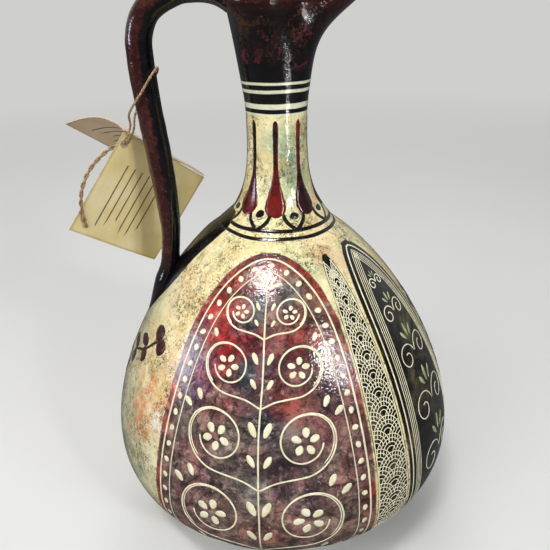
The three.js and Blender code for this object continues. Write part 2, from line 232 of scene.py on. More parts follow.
class Wiring:
    # adds nodes to a material and joins them by short calls
    def __init__(self, name):
        self.material = bpy.data.materials.new(name)
        self.material.use_nodes = True
        self.nodes = self.material.node_tree.nodes
        self.links = self.material.node_tree.links
        self.shader = self.nodes["Principled BSDF"]
        self.place = self.nodes.new("ShaderNodeTexCoord").outputs["Object"]

    def put(self, socket, value):
        if isinstance(value, bpy.types.NodeSocket):
            self.links.new(value, socket)
        else:
            socket.default_value = value

    def sum(self, kind, *values):
        node = self.nodes.new("ShaderNodeMath")
        node.operation = kind
        for socket, value in zip(node.inputs, values):
            self.put(socket, value)
        return node.outputs[0]

    def times(self, first, second):
        return self.sum("MULTIPLY", first, second)

    def plus(self, first, second):
        return self.sum("ADD", first, second)

    def moved(self, shift):
        node = self.nodes.new("ShaderNodeMapping")
        self.links.new(self.place, node.inputs["Vector"])
        node.inputs["Location"].default_value = shift
        return node.outputs[0]

    def texture(self, kind, scale, shift):
        # the mapping comes before its texture, so that the renderer can free its result at once
        place = self.moved(shift) if any(shift) else self.place
        node = self.nodes.new(kind)
        self.links.new(place, node.inputs["Vector"])
        node.inputs["Scale"].default_value = scale
        return node

    def grain(self, scale, detail=3, rough=0.5, distort=0, shift=(0, 0, 0)):
        node = self.texture("ShaderNodeTexNoise", scale, shift)
        node.inputs["Detail"].default_value = detail
        node.inputs["Roughness"].default_value = rough
        node.inputs["Distortion"].default_value = distort
        return node.outputs["Fac"]

    def sway(self, *grain):
        # a grain round zero, half of it below
        return self.sum("SUBTRACT", self.grain(*grain), 0.5)

    def cells(self, scale, shift=(0, 0, 0)):
        return self.texture("ShaderNodeTexVoronoi", scale, shift).outputs["Distance"]

    def step(self, value, low, high, start=0.0, end=1.0):
        # a soft step from start to end while value goes from low to high
        node = self.nodes.new("ShaderNodeMapRange")
        node.interpolation_type = "SMOOTHSTEP"
        self.put(node.inputs["Value"], value)
        self.put(node.inputs["From Min"], low)
        self.put(node.inputs["From Max"], high)
        self.put(node.inputs["To Min"], start)
        self.put(node.inputs["To Max"], end)
        return node.outputs["Result"]

    def cloud(self, grain, low, high, start=0.0, end=1.0):
        # soft patches: a step on a grain
        return self.step(self.grain(*grain), low, high, start, end)

    def veins(self, grain, wide, core, start=0.0, end=1.0):
        # thin lines where a grain passes its middle
        return self.step(self.sum("ABSOLUTE", self.sway(*grain)), wide, core, start, end)

    def dots(self, scale, shift, edge, core, gather):
        # round dots, gathered in clouds
        return self.times(self.step(self.cells(scale, shift), edge, core), self.cloud(*gather))

    def layer(self, under, tint, grain, low, high, most, within=None):
        # a tint laid over in clouds, as thick as most, within another cloud or share
        share = self.cloud(grain, low, high, 0, most)
        if within:
            share = self.times(share, self.cloud(*within) if isinstance(within, tuple) else within)
        return self.mix(share, under, tint)

    def mix(self, share, under, over, kind="MIX"):
        node = self.nodes.new("ShaderNodeMix")
        node.data_type = "RGBA"
        node.blend_type = kind
        self.put(node.inputs["Factor"], share)
        self.put(node.inputs[6], paintColour(under) if isinstance(under, str) else under)
        self.put(node.inputs[7], paintColour(over) if isinstance(over, str) else over)
        return node.outputs[2]

    def ramp(self, value, *stops):
        node = self.nodes.new("ShaderNodeValToRGB")
        self.put(node.inputs["Fac"], value)
        marks = node.color_ramp.elements
        while len(marks) < len(stops):
            marks.new(0.5)
        for mark, (where, colour) in zip(marks, stops):
            mark.position = where
            mark.color = paintColour(colour)
        return node.outputs["Color"]

    def field(self, name):
        node = self.nodes.new("ShaderNodeAttribute")
        node.attribute_name = name
        return node.outputs["Fac"]

    def height(self):
        node = self.nodes.new("ShaderNodeSeparateXYZ")
        self.links.new(self.place, node.inputs[0])
        return node.outputs["Z"]

    def near(self, angle, height, reach, core=0.2):
        # 1 near a place on the wall and 0 from reach millimetres on
        node = self.nodes.new("ShaderNodeVectorMath")
        node.operation = "DISTANCE"
        self.links.new(self.place, node.inputs[0])
        node.inputs[1].default_value = onVase(angle, height)
        return self.step(node.outputs["Value"], reach * mm, reach * core * mm)

    def bump(self, value, strength, distance, under=None):
        node = self.nodes.new("ShaderNodeBump")
        self.put(node.inputs["Height"], value)
        node.inputs["Strength"].default_value = strength
        node.inputs["Distance"].default_value = distance
        if under:
            self.links.new(under, node.inputs["Normal"])
        return node.outputs["Normal"]

    def varnish(self, weight=1, roughness=0.04, under=0.1):
        self.shader.inputs["Coat Weight"].default_value = weight
        self.shader.inputs["Coat Roughness"].default_value = roughness
        self.shader.inputs["Specular IOR Level"].default_value = under

    def finish(self, colour, roughness, normal=None):
        self.put(self.shader.inputs["Base Color"], colour)
        self.put(self.shader.inputs["Roughness"], roughness)
        if normal:
            self.links.new(normal, self.shader.inputs["Normal"])
            self.links.new(normal, self.shader.inputs["Coat Normal"])
        return self.material


# Twine: jute of two plies, a loop round the handle and a doubled end that hangs over the tag

tagShape = {
    "corner": (-67.2, 1.2, 199.1),
    "along": (0.5562, 0.6035, -0.5713), "down": (-0.5373, -0.2637, -0.8011),
    "through": (-0.6341, 0.7526, 0.1776),
    "width": 53, "length": 50.7, "thickness": 0.36, "foldGap": 0.3, "hole": (3.3, 4.9), "holeSize": 4,
    # the front leaf curls from a place along the fold on, and ripples a little
    "curl": 0.9, "curlFrom": 30, "ripple": 0.1, "rippleRate": 0.16,
    # the back leaf's bow: millimetres down from the fold, and the share of its length behind the front leaf;
    # its end in shares of the length, down and behind
    "bow": ((-0.35, 0), (-2.6, 0.34), (2.2, 0.62)), "bowEnd": (0.26, 0.925),
}

twineShape = {
    "loopThickness": 1.1, "loopPitch": 3.2, "tailThickness": 2.0, "tailPitch": 8.5, "strandPitch": 2.6,
    # shares of the thickness: radius of a ply and of the tail's strand, and how far each lies from the middle
    "ply": 0.34, "plyApart": 0.16, "strand": 0.52, "strandApart": 0.25,
    "fuzz": 0.05, "fuzzAlong": 1.3, "fuzzRound": 1.5,
    "spacing": 0.3, "sides": 14, "curveSteps": 24, "bendSteps": 6, "pathSteps": 12, "pathSpacing": 1.6,
}

jute = {
    "grain": (1100, 4, 0.7, 0.6), "tones": ((0.32, "5d4329"), (0.5, "9a784d"), (0.7, "cbb184")),
    "wash": ("8a6a48", (90, 2), 0.4, 0.65, 0.45), "fibres": (3200, 3, 0.7), "fibreHeight": 0.00012,
    "fibreStrength": 0.7, "sheen": 0.3, "sheenRoughness": 0.5, "roughness": 0.85,
}


def onTag(along, down, through):
    # a place on the tag in millimetres: along the fold, down the front leaf, and behind it
    place = Vector(tagShape["corner"])
    for name, distance in (("along", along), ("down", down), ("through", through)):
        place += Vector(tagShape[name]) * distance
    return place


def byHole(along, down, through):
    return onTag(tagShape["hole"][0] + along, tagShape["hole"][1] + down, through)


def loopRoute():
    return [
        byHole(-0.65, 0, 0.95), byHole(-0.65, -0.1, 0), byHole(-0.85, -1.2, -1), byHole(-1.6, -3.6, -1.7),
        byHole(-3.1, -8.3, -2.1),
        Vector((-62.9, -3.4, 206.7)), Vector((-60.3, -5.8, 210.6)), Vector((-55.6, -7.25, 216.4)),
        Vector((-50.9, -5.9, 222.9)), Vector((-49.4, 0, 225.2)), Vector((-50.9, 5.9, 222.6)),
        Vector((-55.6, 7.25, 216)), Vector((-60.1, 6.1, 209.6)), Vector((-62.3, 4.2, 204.9)),
        byHole(-0.9, -8.1, -2), byHole(0.4, -3.6, -1.7), byHole(0.65, -1.2, -1), byHole(0.65, -0.1, 0),
        byHole(0.65, 0, 0.95),
    ]


def tailRoute():
    return [
        byHole(-1, 1.5, 1.75), byHole(-2, 2.8, 2), byHole(-3.1, 4.3, 2.1), byHole(-4.3, 6.1, 2),
        onTag(-2.2, 13.4, 1.75), onTag(-3.5, 16.6, 1.4), onTag(-4.5, 20, 1), onTag(-5.1, 23.5, 0.4),
        onTag(-5.2, 27, -0.3), onTag(-4.8, 30.5, -0.9), onTag(-3.8, 33.8, -1.4), onTag(-2.2, 36.9, -1.6),
        onTag(-0.2, 39.7, -1.65), onTag(2, 42.2, -1.6), onTag(4.2, 44.4, -1.55), onTag(6.4, 46.3, -1.5),
    ]


def framesAlong(line):
    # a direction and two sides for each point, turned as little as possible from one to the next
    frames, side = [], None
    for index in range(len(line)):
        before, after = neighbours(line, index)
        along = (after - before).normalized()
        if side is None:
            side = along.orthogonal().normalized()
        side = (side - along * side.dot(along)).normalized()
        frames.append((along, side, along.cross(side)))
    return frames


def twineLine(route):
    return evenLine(smoothLine(route, lambda a, b: twineShape["curveSteps"]), twineShape["spacing"])[0]


def strandRings(line, thickness, pitch):
    # two plies side by side that turn round each other once in each pitch
    t = twineShape
    ply, apart = t["ply"] * thickness, t["plyApart"] * thickness
    rings, run = [], 0
    for index, (along, side, other) in enumerate(framesAlong(line)):
        run += (line[index] - line[index - 1]).length if index else 0
        ring = []
        for k in range(t["sides"]):
            turn = 2 * math.pi * k / t["sides"]
            lobe = turn - 2 * math.pi * run / pitch
            reach = apart * abs(math.cos(lobe)) + math.sqrt(ply ** 2 - (apart * math.sin(lobe)) ** 2)
            fuzz = noise.noise(Vector((run * t["fuzzAlong"], turn * t["fuzzRound"], thickness)))
            reach *= 1 + t["fuzz"] * fuzz
            ring.append((line[index] + (side * math.cos(turn) + other * math.sin(turn)) * reach) * mm)
        rings.append(ring)
    return rings


def twinePiece(name, node, rings, route, body):
    t = twineShape
    piece = rolledSheet(name, rings)
    closePiece(piece, 180)
    piece.data.materials.append(juteFinish)
    setIn(piece, body, "twine", node)
    line, length = evenLine(smoothLine(route, lambda a, b: t["pathSteps"]), t["pathSpacing"])


def makeJute():
    j = jute
    w = Wiring("juteTwine")
    colour = w.ramp(w.grain(*j["grain"]), *j["tones"])
    colour = w.layer(colour, *j["wash"])
    w.shader.inputs["Sheen Weight"].default_value = j["sheen"]
    w.shader.inputs["Sheen Roughness"].default_value = j["sheenRoughness"]
    fibres = w.bump(w.grain(*j["fibres"]), j["fibreStrength"], j["fibreHeight"])
    return w.finish(colour, j["roughness"], fibres)


def makeLoop():
    t = twineShape
    rings = strandRings(twineLine(loopRoute()), t["loopThickness"], t["loopPitch"])
    twinePiece("twineLoop", "twine_loop", rings, loopRoute(), "twine")


def makeTail():
    # one strand that runs down, turns back at the end and is twisted with itself
    t = twineShape
    line = twineLine(tailRoute())
    frames = framesAlong(line)
    apart, strand = t["strandApart"] * t["tailThickness"], t["strand"] * t["tailThickness"]
    last = len(line) - 1 - int(round(apart / t["spacing"]))
    legs = []
    for start in (0, math.pi):
        leg = []
        for index in range(last + 1):
            along, side, other = frames[index]
            turn = start + 2 * math.pi * index * t["spacing"] / t["tailPitch"]
            leg.append(line[index] + (side * math.cos(turn) + other * math.sin(turn)) * apart)
        legs.append(leg)
    bend = []
    across = (legs[0][-1] - legs[1][-1]) / 2
    for step in range(1, t["bendSteps"]):
        turn = math.pi * step / t["bendSteps"]
        bend.append(line[last] + across * math.cos(turn) + frames[last][0] * apart * math.sin(turn))
    rings = strandRings(legs[0] + bend + legs[1][::-1], strand, t["strandPitch"])
    twinePiece("twineTail", "twine_tail", rings, tailRoute(), "tag_front")


juteFinish = makeJute()
makeLoop()
makeTail()
print("twine laid")


# Tag: a card folded in two, flat in front, with the back leaf sprung open

ruledCard = {
    "grain": (50, 4, 0.6), "tones": (0.3, 0.5, 0.72),
    "fibres": ("c9ad74", (900, 5, 0.75, 2.2), 0.56, 0.66, 0.3),
    # ruled lines, in millimetres: their pitch, how much each of them shakes, the share of the pitch that is
    # line, where the first and the last lie, where they begin, and their uneven ends
    "pitch": 4.3, "shake": 0.25, "lineStart": (0.35, 0.38), "lineEnd": (0.55, 0.52), "firstLine": (6.6, 6.8),
    "lastLine": (35, 34.8), "top": (12.6, 12.8), "end": 41.5, "endSway": 3.2, "endRate": 1.9,
    "ink": "3f2c1d", "inkCloud": ((1500, 3), 0.2, 0.5, 0.6, 0.9),
    "soil": "8f7347", "soilReach": 1.6, "soilGrain": (260, 4, 0.7), "soilMost": 0.8,
    "bumps": (1400, 4, 0.7), "bumpStrength": 0.25, "bumpHeight": 0.00008, "roughness": 0.7,
}

# deep, plain and pale tone; the back leaf is painted paler and pinker as painted light, standing in for the
# light that the wall behind throws on it
frontTones = ("e2cb8c", "efdb9f", "f7e9b8")
backLeafLitTones = ("ecd3b0", "f8dfbf", "fdecd2")


def cardFinish(name, tones):
    # parchment card with plain ruled lines that run down both leaves
    r = ruledCard
    w = Wiring(name)
    colour = w.ramp(w.grain(*r["grain"]), *zip(r["tones"], tones))
    colour = w.layer(colour, *r["fibres"])
    along, down, face = w.field("along"), w.field("down"), w.field("ruledFace")
    shake = w.times(w.sway(300, 2), r["shake"])
    beat = w.sum("FRACT", w.sum("DIVIDE", w.plus(along, shake), r["pitch"]))
    line = w.times(w.step(beat, *r["lineStart"]), w.step(beat, *r["lineEnd"]))
    line = w.times(line, w.times(w.step(along, *r["firstLine"]), w.step(along, *r["lastLine"])))
    end = w.plus(r["end"], w.times(w.sum("SINE", w.times(along, r["endRate"])), r["endSway"]))
    reach = w.times(w.step(down, *r["top"]), w.step(w.sum("SUBTRACT", down, end), 0.1, -0.1))
    line = w.times(w.times(line, reach), w.step(face, 0.4, 0.6))
    line = w.times(line, w.cloud(*r["inkCloud"]))
    colour = w.mix(line, colour, r["ink"])
    soiled = w.times(w.step(w.field("fromEdge"), r["soilReach"], 0), w.grain(*r["soilGrain"]))
    colour = w.mix(w.times(soiled, r["soilMost"]), colour, r["soil"])
    return w.finish(colour, r["roughness"], w.bump(w.grain(*r["bumps"]), r["bumpStrength"], r["bumpHeight"]))


def leafPiece(name, placeOf, far):
    # a grid bent to the leaf, and given its thickness
    t = tagShape
    dropSelection()
    # about one square to each square millimetre
    bpy.ops.mesh.primitive_grid_add(x_subdivisions=53, y_subdivisions=50, size=1)
    piece = newPiece(name)
    for vertex in piece.data.vertices:
        along = (vertex.co.x + 0.5) * t["width"]
        down = t["foldGap"] + (vertex.co.y + 0.5) * (far - t["foldGap"])
        vertex.co = placeOf(along, down) * mm
    thicken = piece.modifiers.new("cardThickness", "SOLIDIFY")
    thicken.thickness = t["thickness"] * mm
    thicken.offset = 0
    bpy.ops.object.modifier_apply(modifier=thicken.name)
    return piece


def cutHole(piece):
    t = tagShape
    dropSelection()
    middle = onTag(t["hole"][0], t["hole"][1], 0) * mm
    turn = Vector(t["through"]).to_track_quat("Z", "Y").to_euler()
    bpy.ops.mesh.primitive_cylinder_add(vertices=40, radius=t["holeSize"] / 2 * mm, depth=4 * mm,
                                        location=middle, rotation=turn)
    punch = bpy.context.object
    pick(piece)
    cut = piece.modifiers.new("punchedHole", "BOOLEAN")
    cut.operation = "DIFFERENCE"
    cut.solver = "EXACT"
    cut.object = punch
    bpy.ops.object.modifier_apply(modifier=cut.name)
    pick(punch)
    bpy.ops.object.delete()


def finishLeaf(piece, node, body, card, ruledSide, downOf):
    # fields for the material: where on the leaf each point is, and which face is ruled
    t = tagShape
    closePiece(piece, 40)
    corner, frameOf = Vector(t["corner"]), [Vector(t[k]) for k in ("along", "down", "through")]
    fields = {"along": [], "down": [], "ruledFace": [], "fromEdge": []}
    for vertex in piece.data.vertices:
        place = vertex.co / mm - corner
        a, d, h = (place.dot(axis) for axis in frameOf)
        d = downOf(d, h)
        edge = max(min(a, t["width"] - a, t["length"] - d, d), 0)
        for values, value in zip(fields.values(), (a, d, ruledSide(a, d, h), edge)):
            values.append(value)
    for name, values in fields.items():
        addField(piece, name, values)
    piece.data.materials.append(card)
    setIn(piece, body, "card", node)


def makeFrontLeaf():
    t = tagShape

    def bend(along, down):
        bent = max(along - t["curlFrom"], 0) / (t["width"] - t["curlFrom"])
        curl = t["curl"] * bent ** 2 * (down / t["length"]) ** 2
        ripple = t["ripple"] * math.sin(along * t["rippleRate"]) * (down / t["length"])
        return curl + ripple

    piece = leafPiece("tagFront", lambda a, d: onTag(a, d, bend(a, d)), t["length"])
    cutHole(piece)
    finishLeaf(piece, "tag_front_leaf", "tag_front", cardFinish("parchmentCard", frontTones),
               lambda a, d, h: 1.0 if h < bend(a, d) else 0.0, lambda d, h: d)


def makeBackLeaf():
    # sprung away from the front leaf in a bow, with its end drooping
    t = tagShape
    far = t["length"]
    droop, reach = t["bowEnd"]
    corners = [(down, share * far) for down, share in t["bow"]] + [(droop * far, reach * far)]
    line = evenLine([Vector((d, h, 0)) for d, h in bezierPoints(corners, 60)], 0.4)[0]

    def placeOf(along, down):
        spot = line[min(int(round(down / far * (len(line) - 1))), len(line) - 1)]
        return onTag(along, spot.x, spot.y)

    piece = leafPiece("tagBack", placeOf, far)
    finishLeaf(piece, "tag_back_leaf", "tag_back", cardFinish("paleLitCard", backLeafLitTones),
               lambda a, d, h: 1.0, lambda d, h: h / reach)


makeFrontLeaf()
makeBackLeaf()
print("tag folded")


# Finishes of the pottery

# A cloud is written as its grain, where it begins and is full, and perhaps its least and its most. A layer is
# written as its tint, its grain, where it begins and is full, its most, and perhaps a cloud that gathers it.

groundWashesAndHighlight = (
    # angle, height, reach, tint and strength of each wash on the cream ground; one of them is a painted
    # highlight
    (-141, 88, 36, "e08a48", 1.0), (-134, 104, 20, "e3a868", 0.7), (-145, 77, 17, "df7c48", 0.9),
    # the near-white wash at -131 degrees and 86 mm is a painted highlight, a glint of light on the glaze, not
    # slip
    (-160, 60, 46, "86987c", 0.95), (-170, 96, 30, "93a08a", 0.7), (-131, 86, 13, "f8f3e4", 1.0),
    (-141, 57, 20, "a0aa8a", 0.95), (-137, 68, 8, "ece8cc", 0.8), (-151, 82, 14, "b9c39f", 0.6),
    (-142, 124, 20, "f0dc94", 0.7), (-156, 112, 16, "efd08c", 0.6), (-137, 128, 30, "e6c385", 0.6),
    (-150, 134, 22, "ebc391", 0.6), (-48, 152, 22, "d9a07a", 0.7), (-72, 149, 18, "b6c99a", 0.7),
    (-100, 152, 16, "f0d592", 0.6), (-10, 60, 50, "97a37c", 0.7), (150, 60, 60, "cf9763", 0.6),
    (178, 120, 40, "a3a884", 0.5), (8, 120, 40, "cf9e6e", 0.6), (62, 150, 26, "94a588", 0.6),
    (125, 135, 30, "c9946a", 0.5), (-70, 190, 17, "6c9a7e", 1.0), (-64, 177, 14, "78a488", 0.95),
    (-80, 168, 9, "c4d3a4", 0.7), (-86, 198, 10, "b9c79c", 0.8), (-78, 184, 7, "d08a66", 0.8),
    (-45, 170, 10, "dda070", 0.7), (-106, 188, 10, "ecd28e", 0.7), (-95, 174, 9, "b9bd96", 0.7),
    (100, 188, 15, "8aa583", 0.8), (150, 178, 12, "c58e66", 0.6), (30, 195, 14, "8fa887", 0.7),
)

paintWashesAndHighlight = (
    # the same for the red paint: pools of one colour run into the next, and one pale violet painted highlight
    (-114, 126, 36, "c83636", 1.0), (-108, 142, 20, "d4503c", 0.95), (-120, 116, 14, "e0685a", 0.7),
    (-99, 134, 19, "2c6470", 1.0), (-84, 139, 12, "2f6f78", 0.9), (-100, 114, 17, "3c5963", 0.95),
    (-95, 98, 14, "1e3340", 0.9), (-80, 128, 18, "ad3f36", 0.8), (-88, 108, 14, "ad4a39", 0.7),
    # the pale violet wash at -126 degrees and 110 mm is a painted highlight, light from the left mirrored on
    # the glaze
    (-68, 138, 16, "8d6849", 0.8), (-126, 110, 18, "9c8cb8", 0.8), (-74, 104, 22, "955a55", 0.7),
    (-104, 84, 20, "a29a8b", 0.8), (-118, 76, 24, "ab7a76", 0.8), (-84, 70, 20, "6c5a60", 0.8),
    (-98, 70, 12, "a3aaa0", 0.7), (-88, 90, 12, "8d8c84", 0.7), (-110, 50, 22, "b3a999", 0.8),
    (-96, 46, 20, "a2705f", 0.8), (-72, 54, 22, "99786b", 0.8), (-126, 48, 22, "7f4a52", 0.8),
    (110, 120, 30, "b8403a", 0.8), (90, 130, 16, "2f5f6b", 0.8), (84, 90, 24, "8f8c80", 0.7),
    (104, 70, 26, "8f5f62", 0.8), (76, 112, 16, "a5503c", 0.7), (118, 94, 16, "5b4a6a", 0.7),
)


# the rest of a wash's grain, how far apart two washes take theirs, and its cloud
washShape = {"grain": (4, 0.65, 0.4), "apart": 50, "cloud": (0.35, 0.6, 0.15, 1)}


def washed(w, colour, washes, size):
    # the cloud of each wash is cut out of its own part of the grain
    s = washShape
    for angle, height, reach, tint, share in washes:
        grain = (size, *s["grain"], (angle / s["apart"], height / s["apart"], 0))
        cloud = w.cloud(grain, *s["cloud"])
        cloud = w.times(w.near(angle, height, reach), cloud)
        colour = w.mix(w.times(cloud, share), colour, tint)
    return colour


creamSlip = {
    "base": (24, 3, 0.55, 0.4),
    "tones": ((0.3, "dccb8c"), (0.45, "ecda9c"), (0.6, "f2e4b2"), (0.75, "e3d28f")),
    "washSize": 90,
    # the foot is stained below a height in metres
    "footFrom": 0.024, "footFull": 0.006, "footTint": "8a8453",
    "footCloud": ((60, 4, 0.6), 0.35, 0.6, 0.3, 0.9),
    "green": ("c3d09c", (75, 4, 0.62, 0.6, (8, 8, 1)), 0.5, 0.62, 0.4),
    "cream": ("f9f2c6", (90, 4, 0.62, 0.6, (2, 6, 5)), 0.5, 0.62, 0.5),
    "patches": ((62, 4, 0.62, 0.2, (1, 4, 2)), 0.4, 0.58, 0.12, 1),
    "dapple": ("a8965e", (210, 5, 0.72, 1.0, (7, 3, 1)), 0.48, 0.6, 0.7),
    "pale": ("f6eecd", (400, 4, 0.6, 0.5, (4, 0, 3)), 0.54, 0.66, 0.5),
    # grain, thickness, shift and tint of the two kinds of thread
    "threads": ((230, 0.034, (1.3, 5.1, 0), "594d30"), (340, 0.045, (4.2, 0.6, 2), "433722")),
    "threadFrom": 0.5, "threadFull": 0.55, "threadMost": 0.9,
    "specks": ("5f5336", (800, 4, 0.7, 0.4), 0.58, 0.63, 0.85),
    # cells, their shift, edge and core of a dot, and the cloud that gathers them
    "grit": (560, (0, 0, 0), 0.2, 0.12, ((95, 2, 0.5, 0, (0, 9, 4)), 0.48, 0.6)), "gritTint": "382c24",
    "dots": (900, (3, 1, 4), 0.23, 0.14, ((150, 2, 0.5, 0, (9, 4, 0)), 0.53, 0.62)), "dotTint": "4a3c28",
    "dotMost": 0.7,
}


def groundColour(w):
    # cream slip with washed spots and one painted highlight, thready olive-brown sponging and dark grit
    c = creamSlip
    ground = w.ramp(w.grain(*c["base"]), *c["tones"])
    ground = washed(w, ground, groundWashesAndHighlight, c["washSize"])
    foot = w.times(w.step(w.height(), c["footFrom"], c["footFull"]), w.cloud(*c["footCloud"]))
    ground = w.mix(foot, ground, c["footTint"])
    ground = w.layer(ground, *c["green"])
    ground = w.layer(ground, *c["cream"])
    patches = w.cloud(*c["patches"])
    ground = w.layer(ground, *c["dapple"], patches)
    ground = w.layer(ground, *c["pale"])
    for size, wide, shift, tint in c["threads"]:
        threads = w.veins((size, 3, 0.65, 1.3, shift), wide, wide * 0.4)
        gathered = w.cloud((size * 1.3, 3, 0.6, 0, (shift[2], 3, 1)), c["threadFrom"], c["threadFull"])
        threads = w.times(w.times(threads, gathered), patches)
        ground = w.mix(w.times(threads, c["threadMost"]), ground, tint)
    ground = w.layer(ground, *c["specks"], patches)
    ground = w.mix(w.dots(*c["grit"]), ground, c["gritTint"])
    return w.mix(w.times(w.dots(*c["dots"]), c["dotMost"]), ground, c["dotTint"])


varnishWaves = {"slow": (210, 3, 0.6), "slowHeight": 0.0004, "fine": (1050, 2, 0.5), "fineHeight": 0.00012}


def varnishNormal(w, coarse=0.3, fine=0.75):
    # a brushed-on varnish: slow waves, and a fine ripple that breaks the highlights up
    v = varnishWaves
    brushed = w.bump(w.grain(*v["slow"]), coarse, v["slowHeight"])
    return w.bump(w.grain(*v["fine"]), fine, v["fineHeight"], brushed)


def glazed(w, colour, size, rough, coarse, fine=0.75):
    # varnished all over, duller in clouds; rough is the least and most roughness
    w.varnish()
    return w.finish(colour, w.cloud((size, 3), 0.3, 0.7, *rough), varnishNormal(w, coarse, fine))


rawClay = {"grain": (160, 4), "tones": ((0.3, "8a4a2c"), (0.7, "b0673f"))}


def barePart(w, colour):
    # raw clay where the pot has no slip
    return w.mix(w.field("rawClay"), colour, w.ramp(w.grain(*rawClay["grain"]), *rawClay["tones"]))


neckBands = {
    # heights in metres
    "shake": 0.0013, "pale": (0.2062, 0.207, 0, 0.75), "paleTint": "e4e6cf",
    "rings": ((0.2074, 0.2092), (0.2113, 0.2155), (0.2168, 0.2187)), "soft": 0.00012, "ringTint": "0c0909",
    "black": (0.2196, 0.2199), "blackTint": "080606",
}


def bandsOfNeck(w, colour):
    # black rings at the top of the neck, by height, drawn with a slightly shaky edge
    n = neckBands
    shake = w.times(w.sway(45, 2), n["shake"])
    level = w.plus(w.height(), shake)
    colour = w.mix(w.step(level, *n["pale"]), colour, n["paleTint"])
    for low, high in n["rings"]:
        rise = w.step(level, low - n["soft"], low + n["soft"])
        fall = w.step(level, high - n["soft"], high + n["soft"], 1, 0)
        colour = w.mix(w.times(rise, fall), colour, n["ringTint"])
    return w.mix(w.step(level, *n["black"]), colour, n["blackTint"])


redPaint = {
    "base": (26, 5, 0.62, 0.6),
    "tones": ((0.34, "584045"), (0.44, "825f5e"), (0.52, "976a64"), (0.6, "9f8d7f"), (0.7, "6a4f57")),
    "washSize": 50,
    "smoke": ("93867a", (36, 5, 0.66, 0.5, (0.5, 8, 3)), 0.52, 0.64, 0.5),
    "rust": ("9a5f50", (40, 5, 0.66, 0.5, (3, 1, 8)), 0.54, 0.66, 0.5),
    # redder from the edge of the panel to eight millimetres inside it
    "rim": (8, 1, 0, 0.8), "rimCloud": ((34, 4, 0.6, 0.4, (2, 5, 7)), 0.42, 0.6, 0.1, 1), "rimTint": "c0402f",
    "creases": ((26, 3, 0.6, 0.9, (5, 5, 5)), 0.022, 0.0, 0, 0.65), "creaseTint": "2a1722",
    "veins": ((58, 4, 0.65, 1.2, (1, 9, 6)), 0.03, 0.004), "veinTint": "331d29", "veinMost": 0.55,
    "veinCloud": ((30, 3, 0.6, 0.4, (6, 6, 1)), 0.42, 0.56),
    "strokes": ((120, 6, 0.74, 0.3, (9, 2, 2)), 0.38, 0.64), "strokeMost": 0.8,
    "strokeTones": ((0.0, "2e2e2e"), (0.5, "828282"), (1.0, "d0cac2")),
    "chalk": ("c9ada0", (330, 6, 0.72, 0.2, (7, 6, 2)), 0.54, 0.64, 0.5, ((42, 3, 0.6), 0.42, 0.6, 0.25, 1)),
    "soot": ("27151a", (330, 6, 0.74, 0.2, (2, 2, 2)), 0.54, 0.62, 0.75,
             ((38, 3, 0.6, 0.4, (8, 1, 6)), 0.38, 0.58, 0.3, 1)),
}


def marbledPaint(w):
    # red, rose and maroon washes with teal, violet and warm grey pools and one pale violet painted highlight,
    # brushed, sponged and speckled
    r = redPaint
    paint = w.ramp(w.grain(*r["base"]), *r["tones"])
    paint = washed(w, paint, paintWashesAndHighlight, r["washSize"])
    paint = w.layer(paint, *r["smoke"])
    paint = w.layer(paint, *r["rust"])
    rim = w.times(w.step(w.field("redPanel"), *r["rim"]), w.cloud(*r["rimCloud"]))
    paint = w.mix(rim, paint, r["rimTint"])
    paint = w.mix(w.veins(*r["creases"]), paint, r["creaseTint"])
    veins = w.times(w.veins(*r["veins"]), w.cloud(*r["veinCloud"]))
    paint = w.mix(w.times(veins, r["veinMost"]), paint, r["veinTint"])
    strokes = w.cloud(*r["strokes"])
    paint = w.mix(r["strokeMost"], paint, w.ramp(strokes, *r["strokeTones"]), "OVERLAY")
    paint = w.layer(paint, *r["chalk"])
    return w.layer(paint, *r["soot"])


paintEdges = {
    # the edges of the paint wobble by so many millimetres in all, those of the black paint and slip by a share
    "grain": (90, 6, 0.72), "wobble": 3, "blackShare": 0.3, "slipShare": 0.25, "neckGrain": (200, 4),
    # from outside an edge to inside it, in millimetres
    "red": (-0.4, 0.4), "black": (-0.2, 0.2), "slip": (-0.25, 0.25),
    "ink": ("060505", "161211"), "inkGrain": (60, 3), "inkDepth": ((46, 5, 0.65, 0.8), 0.3, 0.5, 0.86, 1),
    "slipTint": "0b0808", "dullSize": 130,
}


def paintedBodyFinish():
    e = paintEdges
    w = Wiring("paintedBody")
    colour = groundColour(w)
    wobble = w.times(w.sway(*e["grain"]), e["wobble"])
    edge = w.plus(w.field("redPanel"), wobble)
    colour = w.mix(w.step(edge, *e["red"]), colour, marbledPaint(w))
    # black paint, thin enough in places for the ground to show through
    ink = w.mix(w.grain(*e["inkGrain"]), *e["ink"])
    depth = w.cloud(*e["inkDepth"])
    inked = w.sum("MAXIMUM", w.field("blackPanel"), w.field("bandPanel"))
    edge = w.plus(inked, w.times(wobble, e["blackShare"]))
    colour = w.mix(w.times(w.step(edge, *e["black"]), depth), colour, ink)
    edge = w.plus(w.field("rootPanel"), w.times(wobble, e["slipShare"]))
    colour = barePart(w, w.mix(w.step(edge, *e["slip"]), colour, e["slipTint"]))
    return glazed(w, colour, e["dullSize"], (0.3, 0.45), 0.4, 1)


def neckFinish():
    e = paintEdges
    w = Wiring("paintedNeck")
    colour = bandsOfNeck(w, groundColour(w))
    edge = w.plus(w.field("rootPanel"), w.sway(*e["neckGrain"]))
    colour = barePart(w, w.mix(w.step(edge, *e["slip"]), colour, e["slipTint"]))
    return glazed(w, colour, e["dullSize"], (0.28, 0.4), 0.35)


